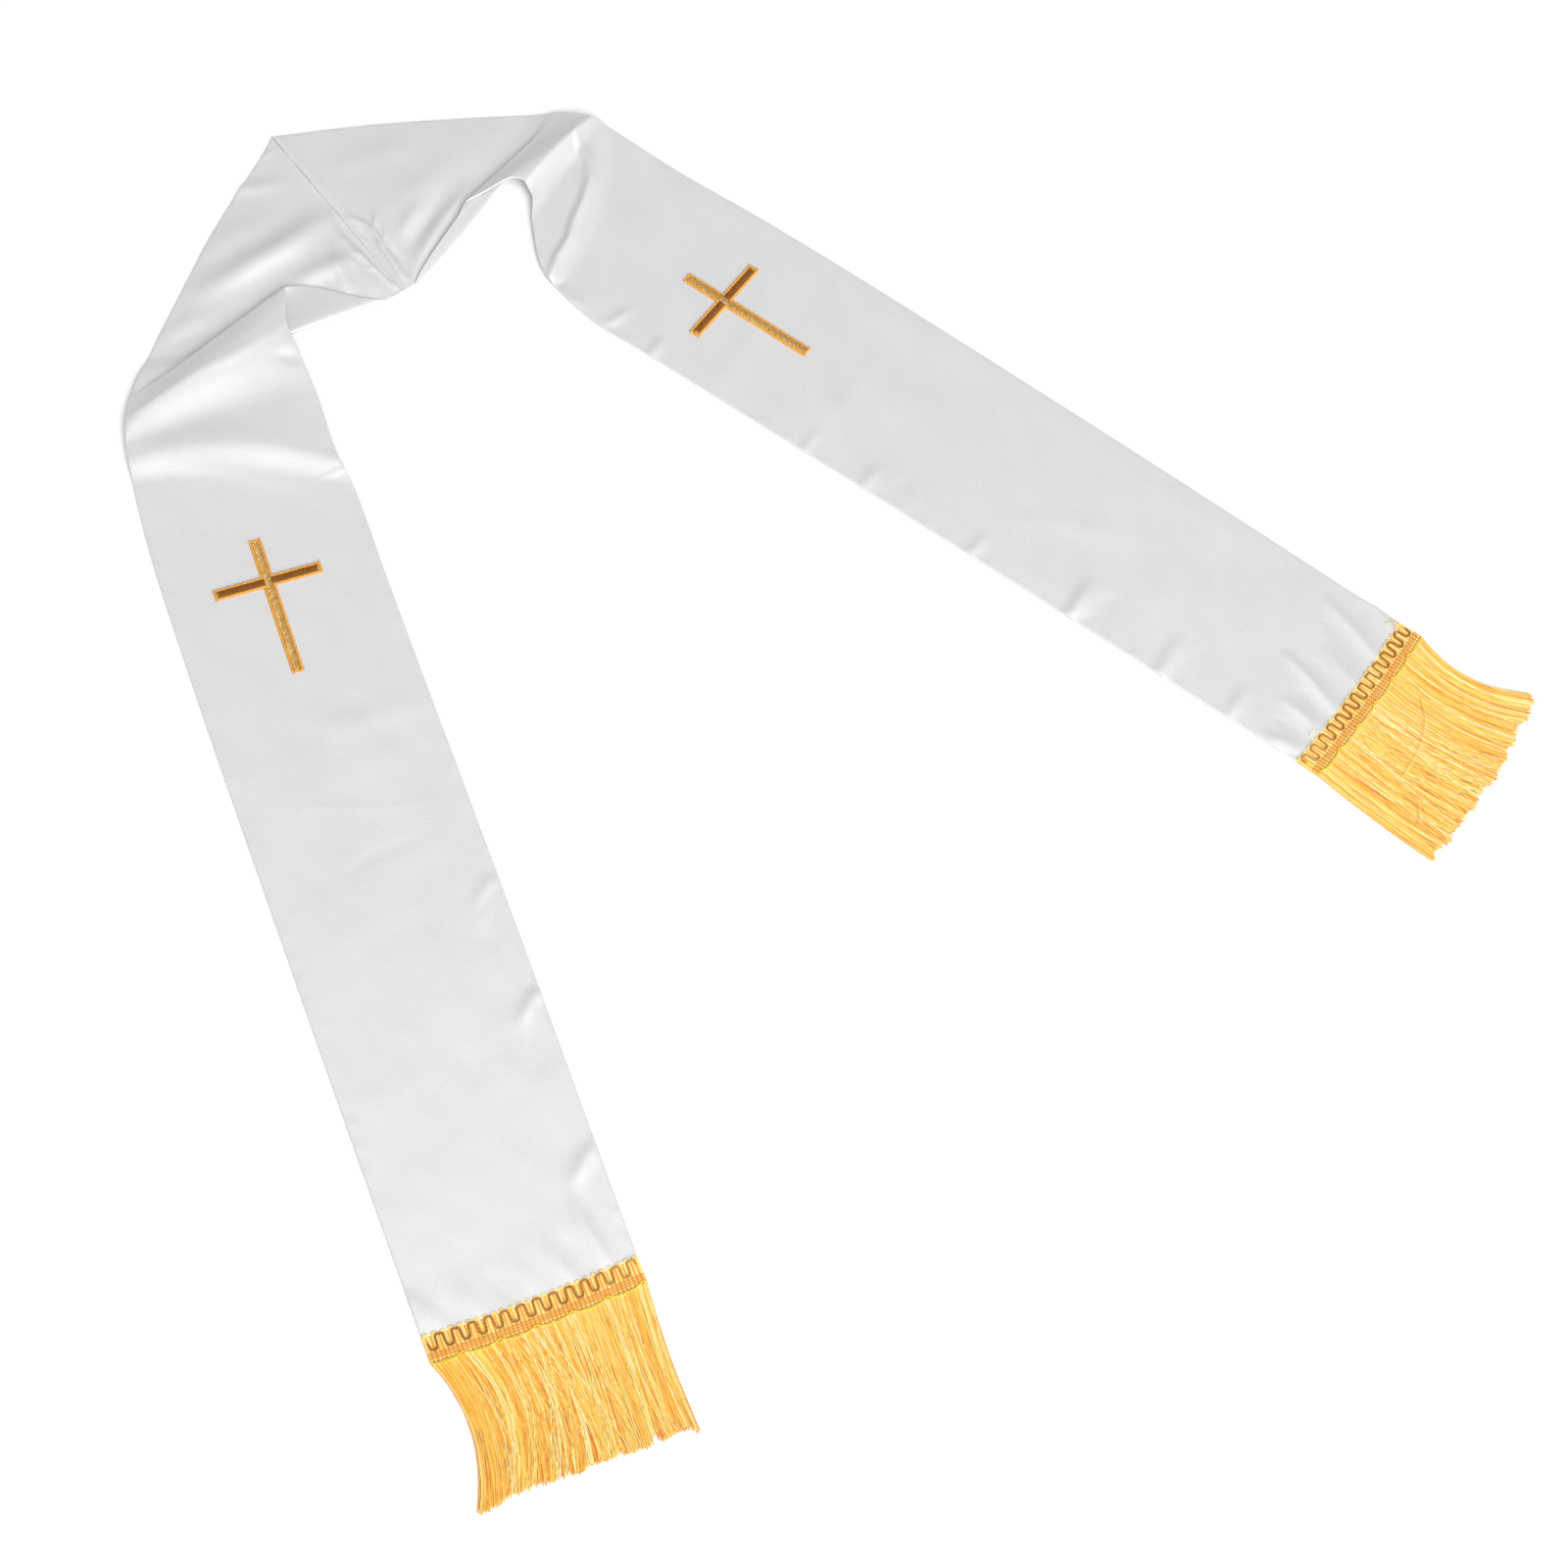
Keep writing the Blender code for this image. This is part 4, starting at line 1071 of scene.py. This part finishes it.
def makeFringe(key, material):
    shape = hemShapes[key]
    draw = np.random.default_rng(shape["seed"] + 5)
    width = hemFrame(key)[3]
    count, steps = fringeSet["strands"], fringeSet["points"]
    span = width - 2.0 * fringeSet["inset"]
    root = fringeSet["inset"] + span * (np.arange(count) + draw.random(count)) / count
    fromTangle = root / width - shape["tangle"]
    layer = (np.arange(count) * 0.6180339 + draw.normal(0.0, 0.04, count)) % 1.0
    # near the tangle some strands lie on top and fan out widely
    share, shift, reach = fringeSet["fan"]
    fan = (draw.random(count) < share * bell(fromTangle - shift, reach)) & (layer > 0.5)
    layer[fan] = draw.uniform(0.8, 1.0, int(fan.sum()))
    # clumps of uneven width, each drawn together and drifting its own way
    bounds = [0.0]
    while bounds[-1] < width:
        bounds.append(bounds[-1] + fringeSet["clump"] * draw.uniform(*fringeSet["clumpSizes"]))
    bounds = np.array(bounds)
    clumpOf = np.searchsorted(bounds, root + draw.normal(0.0, fringeSet["clumpSpread"], count)) - 1
    clumpOf = np.clip(clumpOf, 0, len(bounds) - 2)
    middles = 0.5 * (bounds[:-1] + np.minimum(bounds[1:], width))
    drift, bend, cut = (draw.normal(0.0, fringeSet[part], len(middles))[clumpOf]
                        for part in ("clumpDrift", "clumpBend", "clumpCut"))
    # close rings at both ends keep the rounding of the ends out of the shading
    t = np.concatenate([[0.0, 0.006], np.linspace(0.09, 0.91, steps - 4), [0.994, 1.0]])[None, :]
    across = (root / width)[:, None]
    length = threeWay(shape["length"], across[:, 0]) + (braidSet["depth"] - fringeSet["startDrop"])
    length += cut + draw.normal(0.0, fringeSet["lengthSpread"], count) - fringeSet["shorter"]
    # a few strands cross their neighbours, most of them at the tangle
    few, more, reach = fringeSet["crossing"]
    crossing = (draw.random(count) < few + more * bell(fromTangle, reach)) & (layer > 0.6)
    crossReach = np.where(crossing, draw.normal(0.0, fringeSet["crossReach"], count), 0.0)
    crossReach[fan] = draw.uniform(*fringeSet["fanReach"], int(fan.sum()))
    inside = fringeSet["stayInside"]
    crossReach = np.clip(crossReach, inside - root, width - inside - root)
    crossReach = np.where(crossing | fan, crossReach, 0.0)[:, None]
    free = np.clip(np.minimum(across, 1.0 - across) / 0.08, 0.15, 1.0)
    aside = -(threeWay(shape["tip"], across) * t ** 2 + threeWay(shape["sway"], across) * arch(t))
    gather = fringeSet["pull"] * np.clip((layer - 0.35) / 0.4, 0.0, 1.0)
    aside += ((middles[clumpOf] - root) * gather)[:, None] * t ** 1.3
    loose = np.clip((layer - 0.3) / 0.3, 0.12, 1.0)[:, None]
    aside += (drift[:, None] * t ** 2 + bend[:, None] * np.sin(math.pi * t)) * free * loose
    aside += crossReach * t ** 1.2 * free
    aside += draw.normal(0.0, fringeSet["lean"], (count, 1)) * t
    aside += draw.normal(0.0, fringeSet["curl"], (count, 1)) * np.sin(2.0 * math.pi * t) * free
    # small kinks left from the twist
    kinks = draw.normal(0.0, fringeSet["kink"], (count, steps))
    kinks[:, -1] = kinks[:, -2]
    aside += kinks * np.clip(t * 6.0, 0.0, 1.0) * np.clip(layer[:, None] * 1.6, 0.3, 1.0)
    low, high = fringeSet["lowest"], fringeSet["highest"]
    rootHeight = fringeSet["rootHeight"] + fringeSet["rootRise"] * layer
    tipHeight = low + (high - low) * layer * draw.uniform(0.55, 1.0, count)
    height = rootHeight[:, None] * (1.0 - t) + tipHeight[:, None] * t
    lateness = draw.uniform(-0.6, 0.6, (count, 1))
    height += fringeSet["hump"] * layer[:, None] * np.sin(math.pi * t + lateness)
    height = np.clip(height, low, fringeSet["highestHump"])
    drops = fringeSet["startDrop"] + length[:, None] * t
    paths = onBraid(key, root[:, None] + aside, drops, height, across)
    radius = fringeSet["radius"] * (1.0 - fringeSet["thinner"] * t) * draw.uniform(0.85, 1.15, (count, 1))
    # painted shade and light: lower strands get a deeper orange as shade, upper ones a paler yellow as light,
    # with a random spread of each strand's own tone
    base, rise, spread = fringeSet["tone"]
    tone = np.clip(base + rise * layer + draw.normal(0.0, spread, count), 0.0, 1.0)
    return newPiece("fringe" + key.capitalize(), *threadMesh(paths, radius, sides=5, marks=tone), material)


# the ramp runs from deep orange, painted shade for the lowest strands, to pale yellow, painted light for the
# highest
fringeThread = threadMaterial(
    "fringeThread",
    [(0.05, (0.86, 0.26, 0.008)), (0.4, (0.98, 0.44, 0.03)), (0.7, (1.0, 0.66, 0.11)),
     (1.0, (1.0, 0.90, 0.46))],
    0.32, 0.0, 0.8, 0.2, 50.0, 0.25, True)
setInputs(fringeThread.node_tree.nodes["Principled BSDF"], {
    "Subsurface Weight": 0.22, "Subsurface Radius": (1.0, 0.45, 0.1), "Subsurface Scale": 0.0018})
strayThread = threadMaterial(
    "strayThread", [(0.3, (1.0, 0.72, 0.20)), (0.7, (1.0, 0.82, 0.36))], 0.4, 0.0, 0.6, 0.2, 50.0)
fringeLeft = makeFringe("left", fringeThread)
fringeRight = makeFringe("right", fringeThread)

# loose threads that lie across the fringes, and frayed ends at the corners of the braid
looseThreads = {
    "left": [
        [(-322, -214), (-325, -222), (-331, -231), (-334, -243), (-333, -252)],
    ],
    "right": [
        [(338, -188), (332, -200), (322, -209), (307, -217), (290, -222)],
        [(288, -233), (286, -242), (278, -251)],
        [(357, -136), (362, -140), (363, -147)],
        [(365, -137), (360, -142), (356, -148)],
        [(263, -167), (267, -165), (271, -169)],
    ],
}


def makeLooseThreads(key, count=15):
    heights = 3.4 - 0.3 * np.cos(np.linspace(0.0, 2.0 * math.pi, count))
    runs = []
    for points in looseThreads[key]:
        points = np.array(points, float)
        spans = runAlong(points)
        stops = np.linspace(0.0, spans[-1], count)
        run = np.stack([np.interp(stops, spans, points[:, axis]) for axis in (0, 1)], axis=1)
        for smoothing in range(3):
            run[1:-1] = 0.25 * run[:-2] + 0.5 * run[1:-1] + 0.25 * run[2:]
        runs.append(np.column_stack([run, heights]))
    tubes = threadMesh(np.array(runs), 0.24, sides=6)
    return newPiece("looseThreads" + key.capitalize(), *tubes, strayThread)


looseLeft = makeLooseThreads("left")
looseRight = makeLooseThreads("right")
print("fringes hung")


# floor, backdrop and lights
stageSet = {
    "floorSize": 7.0,
    "floorDrop": 0.0002,
    "keyPower": 1950.0,
    "keySize": 8.9,
    "keyPlace": (-2.6, -10.8, 8.0),
    "topPower": 47.0,
    "topSize": 3.0,
    "topPlace": (-0.1, -0.9, 4.0),
    "world": 0.43,
}


def makeStage():
    bpy.ops.mesh.primitive_plane_add(
        size=stageSet["floorSize"], location=(0.0, 0.0, -stageSet["floorDrop"]))
    floor = bpy.context.object
    floor.name = "paleFloor"
    material, tree, shader = newMaterial("paleFloor", 0.9, specular=0.1)
    texCoord = tree.nodes.new("ShaderNodeTexCoord")
    mottle = addNoise(tree, texCoord.outputs["Object"], (3.0, 3.0, 3.0))
    tone = addRamp(tree, mottle, [(0.3, (0.93, 0.93, 0.93)), (0.7, (0.95, 0.95, 0.95))])
    tree.links.new(tone, shader.inputs["Base Color"])
    floor.data.materials.append(material)
    world = bpy.data.worlds.new("paleBackdrop")
    world.use_nodes = True
    setInputs(world.node_tree.nodes["Background"], {
        "Color": (1.0, 1.0, 1.0, 1.0), "Strength": stageSet["world"]})
    bpy.context.scene.world = world


def areaLight(name, place, power, size, aim=(0.0, 0.0, 0.0)):
    bpy.ops.object.light_add(type="AREA", location=place)
    light = bpy.context.object
    light.name = name
    light.data.energy = power
    light.data.size = size
    light.rotation_euler = (Vector(aim) - Vector(place)).to_track_quat("-Z", "Y").to_euler()


makeStage()
areaLight("keySoftbox", stageSet["keyPlace"], stageSet["keyPower"], stageSet["keySize"])
areaLight("topSoftbox", stageSet["topPlace"], stageSet["topPower"], stageSet["topSize"])
bpy.context.scene.view_settings.view_transform = "Standard"
bpy.context.scene.view_settings.look = "None"
print("stage lit")

# what stands for what
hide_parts("left_strip")
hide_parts("right_strip")
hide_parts("left_cross")
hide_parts("right_cross")
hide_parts("left_fringe")
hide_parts("right_fringe")
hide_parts("left_braid_cord")
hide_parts("right_braid_cord")
slots = [(piece, "satin") for piece in (satinLeft, satinRight)]
slots += [(piece, "gold_embroidery") for piece in crossLeft + crossRight]
for braid, fringe, loose in ((braidLeft, fringeLeft, looseLeft), (braidRight, fringeRight, looseRight)):
    slots += [(braid[part], "gold_fringe") for part in ("backing", "ribs", "weft", "chain")]
    slots += [(fringe, "gold_fringe"), (loose, "gold_fringe"), (braid["cord"], "metallic_cord")]
for piece, slot in slots:
    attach(piece, "root")
